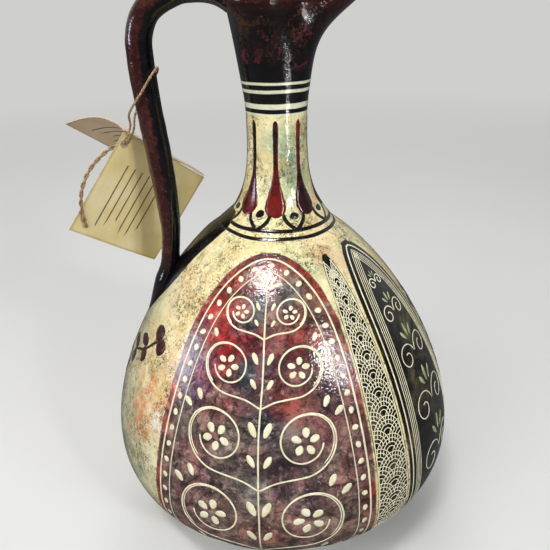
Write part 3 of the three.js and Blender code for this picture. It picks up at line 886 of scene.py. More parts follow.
darkGlaze = {
    "base": (6, 0.72, 0.5),
    "tones": ((0.45, "060404"), (0.52, "1c0f0c"), (0.58, "4a271c"), (0.65, "20100e"), (0.73, "090505")),
    # how much finer than the base, the rest of the grain, where it begins and is full, its most, and its tint
    "flecks": ((2.4, (6, 0.76, 0.4, (2, 7, 1)), 0.565, 0.615, 0.8, "5a2f25"),
               (3, (6, 0.78, 0.4, (6, 2, 1)), 0.53, 0.58, 0.8, "0d080a"),
               (5, (5, 0.78, 0.3, (5, 1, 3)), 0.62, 0.67, 0.4, "a08f80")),
}


def rustMottle(w, size):
    # black glaze with rust-brown clouds, crimson flecks and a few pale ones
    d = darkGlaze
    colour = w.ramp(w.grain(size, *d["base"]), *d["tones"])
    for finer, grain, low, high, most, tint in d["flecks"]:
        colour = w.layer(colour, tint, (size * finer, *grain), low, high, most)
    return colour


mouthGlaze = {
    # heights in metres: where the mottling begins and is full, the band with stray flecks, the browner lip,
    # and the seam to the painted neck
    "mottled": (0.2315, 0.2345), "mottleSize": 135, "mottleSway": 0.05, "plainBlack": "050406",
    "calm": ("0d0808", (48, 4, 0.66, 0.5, (4, 4, 9)), 0.44, 0.56, 0.8),
    "stray": ((130, 6, 0.8, 0.3, (5, 3, 8)), 0.575, 0.6, 0, 0.85), "strayFrom": (0.2235, 0.228),
    "strayTo": (0.242, 0.236), "strayTint": "5e2530",
    "lip": (0.2435, 0.251, 0, 0.5), "lipTint": "4c1e17", "seam": (0.2205, 0.2207),
}


def mouthFinish():
    m = mouthGlaze
    w = Wiring("mottledMouth")
    level = w.height()
    shade = w.plus(level, w.times(w.sway(95, 6, 0.74), m["mottleSway"]))
    colour = w.mix(w.step(shade, *m["mottled"]), m["plainBlack"], rustMottle(w, m["mottleSize"]))
    colour = w.layer(colour, *m["calm"])
    stray = w.cloud(*m["stray"])
    reach = w.times(w.step(level, *m["strayFrom"]), w.step(level, *m["strayTo"]))
    colour = w.mix(w.times(stray, reach), colour, m["strayTint"])
    colour = w.mix(w.step(level, *m["lip"]), colour, m["lipTint"])
    colour = w.mix(w.step(level, *m["seam"]), bandsOfNeck(w, groundColour(w)), colour)
    return glazed(w, colour, 200, (0.2, 0.34), 0.6, 1)


handleGlaze = {
    "mottleSize": 150, "redShare": 0.42, "red": "4a1f1d", "inner": "08070a", "edge": (-0.4, 0.0),
    "edgeSway": 1.5, "root": (0.146, 0.132, 0, 0.92), "rootTint": "0b0a0f",
}


def handleFinish():
    # red-brown outside, black on the side of the fingers and at the root
    h = handleGlaze
    w = Wiring("mottledHandle")
    red = w.mix(h["redShare"], rustMottle(w, h["mottleSize"]), h["red"])
    edge = w.plus(w.field("outerSide"), w.times(w.sway(230, 6, 0.78), h["edgeSway"]))
    colour = w.mix(w.step(edge, *h["edge"]), h["inner"], red)
    colour = w.mix(w.step(w.height(), *h["root"]), colour, h["rootTint"])
    return glazed(w, colour, 200, (0.2, 0.34), 0.5)


paints = {
    # one tone, the other, and how close the clouds of the two follow each other
    "blackPaint": ("0b0809", "1d1614", 170),
    "sprigPaint": ("1f0e0c", "501d18", 260),
    "creamPaint": ("e2dab2", "f6f0d4", 300),
    "sagePaint": ("8f9a6d", "c9c79a", 240),
}

tongueGlaze = {
    "clots": ((230, 5, 0.7, 0.8), 0.4, 0.62, -0.1, 0.3),
    "tones": ((0.05, "6f1c16"), (0.35, "571413"), (0.65, "331214"), (0.9, "180c0e")), "roughness": 0.24,
}


def brushPaint(name):
    # hand-laid paint whose depth changes in clouds
    one, other, size = paints[name]
    w = Wiring(name)
    colour = w.mix(w.cloud((size, 4, 0.6, 0.4), 0.35, 0.68), one, other)
    w.varnish(roughness=0.05)
    return w.finish(colour, 0.28, varnishNormal(w, 0.3))


def tongueFinish():
    # one pool of red glaze for each tongue, bright on some and nearly black on others
    t = tongueGlaze
    w = Wiring("tongueRed")
    clots = w.cloud(*t["clots"])
    depth = w.plus(w.field("depth"), clots)
    colour = w.ramp(depth, *t["tones"])
    w.varnish()
    return w.finish(colour, t["roughness"], varnishNormal(w, 0.25, 0.6))


# Shape of the vase, in millimetres: a foot, a round belly, a narrow neck and a three-lobed mouth

vaseShape = {
    "baseRadius": 42, "bellyRadius": 85.7, "bellyHeight": 52, "shoulderRadius": 26.1,
    "shoulderHeight": 157, "bodyWall": 4.6, "floorThickness": 6.5,
    "neckRadius": 13.1, "neckWaistHeight": 200, "neckTopRadius": 13.8, "neckTopHeight": 213, "neckWall": 4,
    "rimHeight": 252.5, "mouthFlare": 5.6, "spoutReach": 17.5, "spoutLift": 5, "sideLobeReach": 7,
    "pinchDepth": 2.6, "pinchAngle": 56, "sideLobeAngle": 112, "spoutSpread": 34, "pinchSpread": 20,
    "sideLobeSpread": 36, "mouthWall": 3.8, "lipRadius": 2.7, "flarePower": 2.4,
    # the lip is rolled from one angle through another, and is a little wider than high
    "lipStart": -25, "lipTurn": 185, "lipSteps": 16, "lipWiden": 0.6,
    # pulls of the outline's curves, as shares of the stretch that each crosses
    "footPull": (0.58, 0.4), "lowPull": 0.54, "bellyPull": 0.32, "shoulderPull": 0.2, "shoulderSlope": 0.69,
    "neckPull": 0.89, "neckRise": 1.2, "waistPull": 0.47, "topPull": (0.4, 0.3),
    # small things: the worn edge of the foot, the corner of the floor, and the wall at the neck's seam
    "footEdge": ((1.2, 0), (0.3, 0.12)), "floorCorner": 2.5, "seamWall": 1.25,
    "columns": 320, "mouthRings": 46,
}


def vaseOutline():
    v = vaseShape
    spread = v["bellyRadius"] - v["baseRadius"]
    rise = v["shoulderHeight"] - v["bellyHeight"]
    pull = v["shoulderPull"] * rise
    neckPull = v["neckPull"] * (v["shoulderRadius"] - v["neckRadius"])
    waist = v["neckWaistHeight"] - v["shoulderHeight"]
    top = v["neckTopHeight"] - v["neckWaistHeight"]
    shoulder = (v["shoulderRadius"], v["shoulderHeight"])
    belly = (v["bellyRadius"], v["bellyHeight"])
    narrow = (v["neckRadius"], v["neckWaistHeight"])
    out, up = v["footPull"]
    low, high = v["topPull"]
    curves = (
        (((v["baseRadius"], 0), (v["baseRadius"] + out * spread, up * belly[1]),
          (belly[0], v["lowPull"] * belly[1]), belly), 52),
        ((belly, (belly[0], belly[1] + v["bellyPull"] * rise),
          (shoulder[0] + pull / v["shoulderSlope"], shoulder[1] - pull), shoulder), 84),
        ((shoulder, (shoulder[0] - neckPull, shoulder[1] + neckPull * v["neckRise"]),
          (narrow[0], narrow[1] - v["waistPull"] * waist), narrow), 44),
        ((narrow, (narrow[0], narrow[1] + low * top),
          (v["neckTopRadius"] - 0.4, v["neckTopHeight"] - high * top),
          (v["neckTopRadius"], v["neckTopHeight"])), 12),
    )
    line = []
    for corners, steps in curves:
        found = bezierPoints(corners, steps)
        line.extend(found if not line else found[1:])
    return line


def movedLine(line, distance):
    # the same line moved sideways, inwards for a positive distance
    moved = []
    for index, (radius, height) in enumerate(line):
        before, after = neighbours(line, index)
        along = Vector((after[0] - before[0], after[1] - before[1])).normalized()
        moved.append((radius - along.y * distance, height + along.x * distance))
    return moved


outline = vaseOutline()
outlineHeights = [height for radius, height in outline]
outlineRuns = [0]
for beforeSpot, afterSpot in zip(outline, outline[1:]):
    outlineRuns.append(outlineRuns[-1] + math.dist(beforeSpot, afterSpot))


def outlineAt(height):
    # radius and slope of the outside at a height in millimetres
    index = min(max(bisect.bisect_left(outlineHeights, height), 1), len(outline) - 1)
    low, high = outline[index - 1], outline[index]
    slope = (high[0] - low[0]) / (high[1] - low[1])
    return low[0] + slope * (height - low[1]), slope


def heightAtRun(run):
    # height of a place that lies so far up the wall from the foot
    index = min(max(bisect.bisect_left(outlineRuns, run), 1), len(outline) - 1)
    share = (run - outlineRuns[index - 1]) / (outlineRuns[index] - outlineRuns[index - 1])
    return blend(outline[index - 1][1], outline[index][1], share)


def runAtHeight(height):
    index = min(max(bisect.bisect_left(outlineHeights, height), 1), len(outline) - 1)
    share = (height - outlineHeights[index - 1]) / (outlineHeights[index] - outlineHeights[index - 1])
    return blend(outlineRuns[index - 1], outlineRuns[index], share)


def onVase(angle, height, lift=0.0):
    # a place on the outside: angle in degrees from the spout, height and lift in millimetres
    radius, slope = outlineAt(height)
    turn = math.radians(angle)
    tilt = math.hypot(1, slope)
    radius += lift / tilt
    return Vector((radius * math.cos(turn), radius * math.sin(turn), height - lift * slope / tilt)) * mm


# Painted panels: tall petals and narrow bands, measured from their edge in millimetres

panels = {
    "red": {"middles": (-97, 97), "spread": 34.5, "low": 3, "high": 153.5, "power": 8},
    "black": {"middles": (-29, 29), "spread": 20, "low": 14, "high": 152, "power": 7},
    "band": {"middles": (-55.9, 55.9), "spread": 6.0, "low": 9, "high": 151, "power": 16},
}

panelEdge = {
    # how far outside counts as far, how the ends of a panel are rounded, and what is inside or under the foot
    "farOutside": -8, "endLeast": 0.2, "endSlope": 1.2, "skin": 1, "bareFoot": 0.6,
}

spine = {
    # height and half width of the black slip from the neck down to the handle's root
    "edge": ((164.5, 8.5), (158, 11.5), (152, 13.6), (144.5, 14), (135, 15), (130, 14.4), (124.7, 12),
             (118.7, 8.6), (112.5, 4.6), (108, -2)),
    # height and how far it stands proud of the wall
    "lifts": ((165, 0), (162, 1.0), (158, 2.2), (153, 2.5), (147, 1.9), (141, 1.5), (134, 1.2), (126, 0.8),
              (112, 0)),
    "low": 112, "high": 164.4, "skin": 0.6, "narrowest": 0.5, "roundness": 1.5, "slopeOver": 5,
}


def panelSpread(kind, height):
    # half the width of a petal, in degrees, at a height
    p = panels[kind]
    share = (height - p["low"]) / (p["high"] - p["low"])
    if share <= 0 or share >= 1:
        return None
    return p["spread"] * max(1 - abs(2 * share - 1) ** p["power"], 0) ** 0.5


def panelHalf(kind, height):
    # the same in millimetres
    return math.radians(panelSpread(kind, height) or 0) * outlineAt(height)[0]


def panelField(kind, angle, height):
    p, e = panels[kind], panelEdge
    spread = panelSpread(kind, height)
    ends = min(height - p["low"], p["high"] - height)
    if spread is None:
        return max(ends, e["farOutside"])
    away = min(abs((angle - middle + 180) % 360 - 180) for middle in p["middles"])
    inside = (spread - away) * math.radians(1) * outlineAt(height)[0]
    return max(min(inside, max(ends, e["endLeast"]) * e["endSlope"]), e["farOutside"])


def atHeight(marks, height, otherwise):
    # the value at a height, from marks that go down the wall
    for (high, valueHigh), (low, valueLow) in zip(marks, marks[1:]):
        if low <= height < high:
            return blend(valueLow, valueHigh, (height - low) / (high - low))
    return otherwise


def spineWidth(height):
    return atHeight(spine["edge"], height, panelEdge["farOutside"])


def fromBack(angle, radius):
    return abs(abs(angle) - 180) * math.radians(1) * radius


def spineField(angle, height):
    return max(spineWidth(height) - fromBack(angle, outlineAt(height)[0]), panelEdge["farOutside"])


def raiseSpine(piece):
    # the slip that ties the handle's root to the neck stands a little proud of the shoulder
    s = spine
    for vertex in piece.data.vertices:
        x, y, z = (c / mm for c in vertex.co)
        if x > 0 or not s["low"] < z < s["high"] or math.hypot(x, y) < outlineAt(z)[0] - s["skin"]:
            continue
        lift = atHeight(s["lifts"], z, 0)
        away = fromBack(math.degrees(math.atan2(y, x)), math.hypot(x, y))
        share = max(1 - (away / max(spineWidth(z), s["narrowest"])) ** 2, 0) ** s["roundness"]
        slope = (outlineAt(z - s["slopeOver"])[1] + outlineAt(z + s["slopeOver"])[1]) / 2
        outward = Vector((x, y, 0)).normalized() - Vector((0, 0, slope))
        vertex.co += outward.normalized() * lift * share * mm


def markWall(piece, low, high):
    # how far inside each painted panel every point of the wall is, and where the clay is bare
    fields = {"redPanel": [], "blackPanel": [], "bandPanel": [], "rootPanel": [], "rawClay": []}
    e = panelEdge
    for vertex in piece.data.vertices:
        x, y, z = (c / mm for c in vertex.co)
        angle = math.degrees(math.atan2(y, x))
        height = min(max(z, low), high)
        if math.hypot(x, y) < outlineAt(height)[0] - e["skin"] or z < e["bareFoot"]:
            values = (e["farOutside"],) * 4 + (1,)
        else:
            values = tuple(panelField(kind, angle, height) for kind in ("red", "black", "band"))
            values += (spineField(angle, height), 0)
        for name, value in zip(fields, values):
            fields[name].append(value)
    for name, values in fields.items():
        addField(piece, name, values)


def makeBody():
    v = vaseShape
    top = v["shoulderHeight"]
    wall = [p for p in outline if p[1] <= top + 1e-6]
    inner = [p for p in movedLine(outline, v["bodyWall"]) if v["floorThickness"] + 1 < p[1] < top - 1]
    base = wall[0][0]
    profile = [(0, 0), (base * 0.5, 0)] + [(base - back, up) for back, up in v["footEdge"]] + wall[1:]
    # the inside needs fewer rings than the outside
    profile += [(v["shoulderRadius"] - v["seamWall"] * v["bodyWall"], top)] + inner[::-3]
    profile += [(inner[0][0] - v["floorCorner"], v["floorThickness"]), (0, v["floorThickness"])]
    piece = spunWall("potBody", profile, v["columns"])
    closePiece(piece)
    markWall(piece, 0, top)
    raiseSpine(piece)
    piece.data.materials.append(paintedBodyFinish())
    setIn(piece, "vase", "body", "body")


def makeNeck():
    v = vaseShape
    low, top = v["shoulderHeight"], v["neckTopHeight"]
    wall = [p for p in outline if p[1] >= low - 1e-6]
    inner = [p for p in movedLine(outline, v["neckWall"]) if low + 1 < p[1] < top - 1]
    profile = wall + [(v["neckTopRadius"] - v["neckWall"], top)] + inner[::-2]
    profile += [(v["shoulderRadius"] - v["seamWall"] * v["bodyWall"], low)]
    piece = spunWall("potNeck", profile, v["columns"] // 2)
    closePiece(piece)
    markWall(piece, low, top)
    raiseSpine(piece)
    piece.data.materials.append(neckFinish())
    setIn(piece, "vase", "neck", "neck")


def bumpAt(angle, middle, spread):
    return math.exp(-((abs(angle) - middle) / spread) ** 2)


def mouthLine(angle):
    v = vaseShape
    top = v["rimHeight"] + v["spoutLift"] * math.exp(-(angle / v["spoutSpread"]) ** 2) - v["lipRadius"]
    lobe = (v["spoutReach"] * bumpAt(angle, 0, v["spoutSpread"])
            + v["sideLobeReach"] * bumpAt(angle, v["sideLobeAngle"], v["sideLobeSpread"])
            - v["pinchDepth"] * bumpAt(angle, v["pinchAngle"], v["pinchSpread"]))
    line = []
    for ring in range(v["mouthRings"] + 1):
        rise = ring / v["mouthRings"]
        flare = 0.5 - 0.5 * math.cos(math.pi * rise ** v["flarePower"])
        line.append((v["neckTopRadius"] + v["mouthFlare"] * rise + lobe * flare,
                     v["neckTopHeight"] + (top - v["neckTopHeight"]) * rise))
    return line


def mouthSection(angle):
    v = vaseShape
    wall = mouthLine(angle)
    inside = movedLine(wall, v["mouthWall"])
    inside[0] = (v["neckTopRadius"] - v["neckWall"], v["neckTopHeight"])
    middle = (wall[-1][0] + inside[-1][0]) / 2
    lip = []
    for step in range(v["lipSteps"] + 1):
        turn = math.radians(v["lipStart"] + v["lipTurn"] * step / v["lipSteps"])
        lip.append((middle + (v["lipRadius"] + v["lipWiden"]) * math.cos(turn),
                    wall[-1][1] + v["lipRadius"] * math.sin(turn)))
    return wall[:-1] + lip + inside[-2::-1]


def makeMouth():
    columns = vaseShape["columns"] // 2
    sections = []
    for column in range(columns):
        angle = 360 * column / columns
        sections.append(mouthSection(angle - 360 if angle > 180 else angle))
    rings = []
    for row in range(len(sections[0])):
        ring = []
        for column in range(columns):
            turn = 2 * math.pi * column / columns
            radius, height = sections[column][row]
            ring.append(Vector((radius * math.cos(turn), radius * math.sin(turn), height)) * mm)
        rings.append(ring)
    piece = rolledSheet("potMouth", rings, closedEnds=True)
    closePiece(piece)
    piece.data.materials.append(mouthFinish())
    setIn(piece, "vase", "mouth", "mouth")


# Handle: a pulled rod, smoothed on to the rim and the shoulder with slip

handleShape = {
    "reach": 55.9, "top": 254.7, "thick": 11, "lowThick": 8.4, "wide": 12, "rimWide": 19, "rootWide": 17,
    "rootHeight": 125, "spacing": 1.0, "sides": 48,
    # size of the hand-pulled waves in millimetres, and how close they follow each other
    "waves": ((0.2, 0.07), (0.1, 0.21)),
}


def handleStations():
    # out from the axis, height, thickness and width
    h = handleShape
    rim = mouthLine(180)[-1][0]
    root = outlineAt(h["rootHeight"])[0]
    drop = h["top"] - h["rootHeight"]
    reach, top, thick, wide, low = h["reach"], h["top"], h["thick"], h["wide"], h["lowThick"]
    return [
        (rim - 2.4, top - 7.6, thick - 5.4, h["rimWide"] - 1),
        (rim - 0.6, top - 5.4, thick - 4, h["rimWide"]),
        (rim + 2.5, top - 2.6, thick - 2, h["rimWide"] - 1),
        (rim + 7, top - 0.6, thick - 0.6, h["rimWide"] - 4),
        (rim + 13, top, thick, wide + 1),
        (reach - 16, top - 1.2, thick, wide),
        (reach - 5, top - 7.5, thick, wide),
        (reach - 0.6, top - 16.5, thick, wide),
        (reach, top - 28, thick, wide),
        (reach - 3.4, top - 0.53 * drop, thick, wide),
        (reach - 4.8, top - 0.69 * drop, 0.9 * thick, wide),
        (reach - 4.9, top - 0.78 * drop, low + 0.4, wide),
        (reach - 3.7, top - 0.87 * drop, low, wide + 1.5),
        (root - 4, h["rootHeight"] + 10, low + 0.6, h["rootWide"] - 2),
        (root - 0.6, h["rootHeight"] + 2, low + 0.6, h["rootWide"]),
        (root + 3, h["rootHeight"] - 5.5, low - 1.9, h["rootWide"] - 1),
        (root + 7, h["rootHeight"] - 12.5, low - 5, h["rootWide"] - 6),
        (root + 8.8, h["rootHeight"] - 16.5, low - 6.9, h["rootWide"] - 11),
    ]


def makeHandle():
    h = handleShape
    stations = [Vector((-out, height, thick, wide)) for out, height, thick, wide in handleStations()]
    line = smoothLine(stations, lambda a, b: (b - a).length / h["spacing"])
    rings = []
    for index, station in enumerate(line):
        before, after = neighbours(line, index)
        along = Vector((after[0] - before[0], 0, after[1] - before[1])).normalized()
        across = Vector((0, 1, 0))
        outward = across.cross(along)
        ring = []
        for side in range(h["sides"]):
            turn = 2 * math.pi * side / h["sides"]
            place = Vector((station[0], 0, station[1]))
            place += outward * (station[2] / 2 * math.sin(turn)) - across * (station[3] / 2 * math.cos(turn))
            wave = sum(size * noise.noise(place * rate) for size, rate in h["waves"])
            ring.append((place + wave * (outward * math.sin(turn) - across * math.cos(turn))) * mm)
        rings.append(ring)
    piece = rolledSheet("potHandle", rings)
    count = h["sides"] + 1
    sides = [math.sin(2 * math.pi * (k % count) / h["sides"]) for k in range(len(piece.data.vertices))]
    addField(piece, "outerSide", sides)
    closePiece(piece, 60)
    piece.data.materials.append(handleFinish())
    setIn(piece, "vase", "handle", "handle")


makeBody()
makeNeck()
makeMouth()
makeHandle()
print("pottery made")


# Brushwork: each stroke is a narrow closed ribbon laid along its path, a little proud of the wall

brush = {
    "lift": 0.1, "edge": 0.02, "sink": 0.1, "spacing": 1.3, "thinnest": 0.03,
    # how far out the crown of a stroke is still high, and how high, as shares of its half width and lift
    "crown": (0.62, 0.85),
    # how the hand shakes: steps along the noise for the width and the drift, and the drift's share
    "widthRate": 0.55, "driftRate": 0.35, "drift": 0.35,
    # place along one touch of the brush, from its pointed start on, and the share of its full width there
    "touch": ((-0.5, 0.05), (-0.44, 0.42), (-0.2, 0.86), (0.08, 1), (0.3, 0.84), (0.44, 0.5), (0.5, 0.1)),
    "touchShake": 0.15, "touchSteps": 9,
    "ringSteps": 60, "ringSway": 0.12, "ringRate": 0.63, "ringShake": 0.12, "ringSpacing": 1.0,
    # where along a stroke its second depth begins to show, and over how much of it
    "depthFrom": 0.4, "depthOver": 0.35,
}
dice = random.Random(7)


def stroke(path, widths, lift=None, shake=0.0, spacing=None, depth=(0.0, 0.0)):
    # path: (angle, height) places; widths in millimetres, one for each place or one for all
    b = brush
    if not isinstance(widths, (list, tuple)):
        widths = [widths] * len(path)
    lift = b["lift"] if lift is None else lift
    spacing = spacing or b["spacing"]
    out, high = b["crown"]
    section = ((-1, -b["edge"]), (-out, lift * high), (0, lift), (out, lift * high), (1, -b["edge"]),
               (0, -b["sink"]))

    def stepsOf(a, b):
        return round((onVase(b[0], b[1]) - onVase(a[0], a[1])).length / mm / spacing)

    marks = [Vector((angle, height, width)) for (angle, height), width in zip(path, widths)]
    line = smoothLine(marks, stepsOf)
    phase = dice.uniform(0, 50)
    rows = []
    for index, mark in enumerate(line):
        before, after = neighbours(line, index)
        middle = onVase(mark[0], mark[1])
        along = onVase(after[0], after[1]) - onVase(before[0], before[1])
        outward = onVase(mark[0], mark[1], 1) - middle
        side = along.cross(outward).normalized()
        width = max(mark[2], b["thinnest"])
        width *= 1 + shake * noise.noise(Vector((phase, index * b["widthRate"], 0)))
        drift = shake * b["drift"] * noise.noise(Vector((phase + 9, index * b["driftRate"], 0)))
        row = []
        for across, raised in section:
            place = (middle + side * (across * width / 2 + drift) * mm) / mm
            row.append(onVase(math.degrees(math.atan2(place.y, place.x)), max(place.z, 0.01), raised))
        rows.append(row)
    caps = [[onVase(mark[0], mark[1], -b["edge"])] * len(section) for mark in (line[0], line[-1])]
    return {"rows": [caps[0]] + rows + [caps[1]], "depth": depth}


def dab(angle, height, length, width, turn=0.0, lift=None):
    # one touch of a loaded brush, pointed at its start; turn in degrees from straight up the wall
    b = brush
    radius, slope = outlineAt(height)
    across, up = math.sin(math.radians(turn)), math.cos(math.radians(turn)) / math.hypot(1, slope)
    path, widths = [], []
    for share, wide in b["touch"]:
        path.append((angle + math.degrees(across * share * length / radius), height + up * share * length))
        widths.append(wide * width)
    return stroke(path, widths, lift, b["touchShake"], length / b["touchSteps"])


def ringLine(height, width, start=0.0):
    b = brush
    count = b["ringSteps"]
    path = []
    for k in range(count + 1):
        sway = b["ringSway"] * math.sin(k * b["ringRate"]) * math.sin(k * math.pi / count)
        path.append((start + 360 * k / count, height + sway))
    return stroke(path, width, None, b["ringShake"], b["ringSpacing"])


def paintOn(name, strokes, slot, material, depths=False):
    # all the strokes of one paint in one piece: a grid for each, rolled and pulled into place
    b = brush
    dropSelection()
    places, shades = [], []
    for count, made in enumerate(strokes):
        rows = made["rows"]
        bpy.ops.mesh.primitive_grid_add(x_subdivisions=6, y_subdivisions=len(rows) - 1, size=1)
        if count == 0:
            bpy.ops.object.mode_set(mode="EDIT")
        for index, row in enumerate(rows):
            share = (index / len(rows) - b["depthFrom"]) / b["depthOver"]
            shade = blend(*made["depth"], min(max(share, 0), 1))
            for column in range(7):
                places.extend(row[column % 6])
                shades.append(shade)
    bpy.ops.object.mode_set(mode="OBJECT")
    piece = newPiece(name)
    piece.data.vertices.foreach_set("co", places)
    if depths:
        addField(piece, "depth", shades)
    closePiece(piece, 180)
    piece.data.materials.append(material)
    setIn(piece, "vase", slot)
    print(name, len(strokes), "strokes", len(piece.data.polygons), "faces")


# Neck pattern: hanging tongues, arcs with a dot in each, and two ring lines

neckPattern = {
    "tongues": 8, "first": -92, "stemWidth": 2.0, "leanOver": 20, "tongueLift": 0.16,
    # height, and width as a share of the stem's
    "tongue": ((204.7, 0.35), (203.7, 1.05), (195, 1.15), (187, 1.12), (182, 1.35), (177.5, 2.3),
               (172.6, 4.1), (169.4, 5.2), (166.1, 3.9), (164.9, 0.4)),
    # how dark the glaze of each tongue is, on its stem and in its bulb
    "depths": ((0.55, 0.1), (0.2, 0.75), (0.5, 0.6), (0.3, 0.2), (0.6, 0.3), (0.2, 0.4), (0.5, 0.1),
               (0.85, 0.35)),
    # each side of an arc: degrees from the middle of the gap, and height
    "arc": ((14, 166.8), (12, 164.4), (7, 162.2), (2.4, 160.9), (-0.8, 160.2)),
    "arcWidths": (0.7, 1, 1, 1, 0.8), "arcWidth": 1.9, "dotHeight": 166, "dotSize": 4.4, "dotNarrow": 0.8,
    "upperLine": 160.1, "lowerLine": 157.3, "lineWidth": 1.9, "lowerShare": 0.9,
}


def paintNeck():
    n = neckPattern
    step = 360 / n["tongues"]
    top = n["tongue"][0][0]
    tongues, blacks = [], []
    for index in range(n["tongues"]):
        angle = n["first"] + step * index + dice.uniform(-1.5, 1.5)
        lean = dice.uniform(-1.2, 1.2)
        path = [(angle + lean * (top - height) / n["leanOver"], height) for height, share in n["tongue"]]
        widths = [share * n["stemWidth"] for height, share in n["tongue"]]
        tongues.append(stroke(path, widths, n["tongueLift"], 0.1, 0.8, n["depths"][index]))
        gap = angle + step / 2
        for side in (-1, 1):
            arc = [(gap + side * away, height) for away, height in n["arc"]]
            blacks.append(stroke(arc, [n["arcWidth"] * share for share in n["arcWidths"]], None, 0.12, 0.7))
        blacks.append(dab(gap + dice.uniform(-1, 1), n["dotHeight"] + dice.uniform(-0.7, 0.7), n["dotSize"],
                          n["dotSize"] * n["dotNarrow"], dice.uniform(50, 120)))
    blacks.append(ringLine(n["upperLine"], n["lineWidth"]))
    blacks.append(ringLine(n["lowerLine"], n["lineWidth"] * n["lowerShare"], 20))
    paintOn("neckTongues", tongues, "neck", tongueFinish(), True)
    paintOn("neckLines", blacks, "neck", brushPaint("blackPaint"))


# Berry sprigs on the cream ground: one on either side of the handle and an upright one below the spout

sprig = {
    # angle, height, width and height of each berry; angle, height, length, width and turn of each leaf
    "berries": ((-149, 116, 8.6, 7.4), (-144.6, 111.8, 8.4, 7.8)),
    "stem": ((-147.5, 113), (-149.6, 111.2), (-153.6, 107), (-157.9, 103.6), (-162.4, 101), (-166.8, 96.6),
             (-169, 89), (-170.5, 80)),
    "stemWidths": (1.4, 1.5, 1.6, 1.6, 1.4, 1.1, 0.8, 0.5),
    "leaves": ((-158.6, 108, 10, 6, -90), (-154.8, 103.2, 7.6, 7, 184), (-167.6, 101.8, 11, 6.6, -88),
               (-164.4, 96.4, 7.4, 6.4, 180), (-175, 92.6, 9, 5.6, -92), (-172.2, 84.2, 7, 5.2, 176)),
    "berryLift": 0.16, "leafLift": 0.13, "shake": 0.2,
}

uprightSprig = {
    "berries": ((0, 121.4), (-3.8, 115), (3.8, 115)), "berryTall": 7.2, "berryWide": 7.6,
    "stem": ((0.6, 58), (-0.5, 71), (0.4, 84), (-0.3, 97), (0, 107)), "stemWidths": (0.8, 1.3, 1.6, 1.6, 1.3),
    "stalk": ((0, 104), (1.7, 108.5), (3.4, 112)), "stalkWidth": 1.2,
    "leafHeights": (65.5, 73, 80.5, 88, 95.5, 103), "leafAngle": 3.4, "leaf": (9, 5), "leafTurn": 48,
}


def paintSprigs():
    s, u = sprig, uprightSprig
    marks = []
    for mirror in (1, -1):
        for angle, height, across, tall in s["berries"]:
            marks.append(dab(mirror * angle, height, tall, across, 0, s["berryLift"]))
        path = [(mirror * angle, height) for angle, height in s["stem"]]
        marks.append(stroke(path, s["stemWidths"], None, s["shake"]))
        for angle, height, length, width, turn in s["leaves"]:
            marks.append(dab(mirror * angle, height, length, width, mirror * turn + 180, s["leafLift"]))
    marks.append(stroke(u["stem"], u["stemWidths"], None, s["shake"]))
    for angle, height in u["berries"]:
        marks.append(dab(angle, height, u["berryTall"], u["berryWide"], 0, s["berryLift"]))
    for side in (-1, 1):
        path = [(side * angle, height) for angle, height in u["stalk"]]
        marks.append(stroke(path, u["stalkWidth"], None, s["shake"]))
        for height in u["leafHeights"]:
            marks.append(dab(side * u["leafAngle"], height, *u["leaf"], side * u["leafTurn"], s["leafLift"]))
    paintOn("berrySprigs", marks, "body", brushPaint("sprigPaint"))


# Motifs of the panels, drawn across and up the wall in millimetres from the middle of each panel

def placed(middle, across, run):
    height = heightAtRun(run)
    return (middle + math.degrees(across / outlineAt(height)[0]), height)


def drawn(middle, points, widths, **extra):
    return stroke([placed(middle, across, run) for across, run in points], widths, **extra)


def touched(middle, across, run, length, width, turn=0.0, lift=None):
    angle, height = placed(middle, across, run)
    return dab(angle, height, length, width, turn, lift)


def petalEdge(kind, inset, steps=44):
    # the outline of a petal, drawn in by a distance, from its foot round to its foot
    p = panels[kind]
    side = []
    for k in range(steps + 1):
        # closer together at the foot and at the tip, and just short of both
        share = 0.5 - 0.5 * math.cos(math.pi * (0.02 + 0.96 * k / steps))
        height = p["low"] + (p["high"] - p["low"]) * share
        side.append((panelHalf(kind, height), runAtHeight(height)))
    around = side + [(-across, run) for across, run in side[::-1]]
    return movedLine(around + around[:1], inset)


def spiral(centre, radius, startTurn, turns, hand, steps=30, tight=0.2):
    # from its outer end in; tight is the share of the radius that is left at its eye
    points = []
    for k in range(steps + 1):
        share = k / steps
        turn = math.radians(startTurn) + hand * 2 * math.pi * turns * share
        reach = radius * (1 - (1 - tight) * share ** 0.85)
        points.append((centre[0] + reach * math.cos(turn), centre[1] + reach * math.sin(turn)))
    return points


def rosette(middle, across, run, reach, size, phase):
    marks = []
    for k in range(5):
        turn = 2 * math.pi * k / 5 + phase
        marks.append(touched(middle, across + reach * math.sin(turn), run + reach * math.cos(turn), size,
                             size * 0.8, math.degrees(turn) + dice.uniform(-12, 12)))
    return marks


def leafFan(middle, run, reach, length, width, turns):
    marks = []
    for turn in turns:
        lean = math.radians(turn)
        out, up = reach * math.sin(lean), run + reach * math.cos(lean)
        marks.append(touched(middle, out, up, length, width, turn))
    return marks


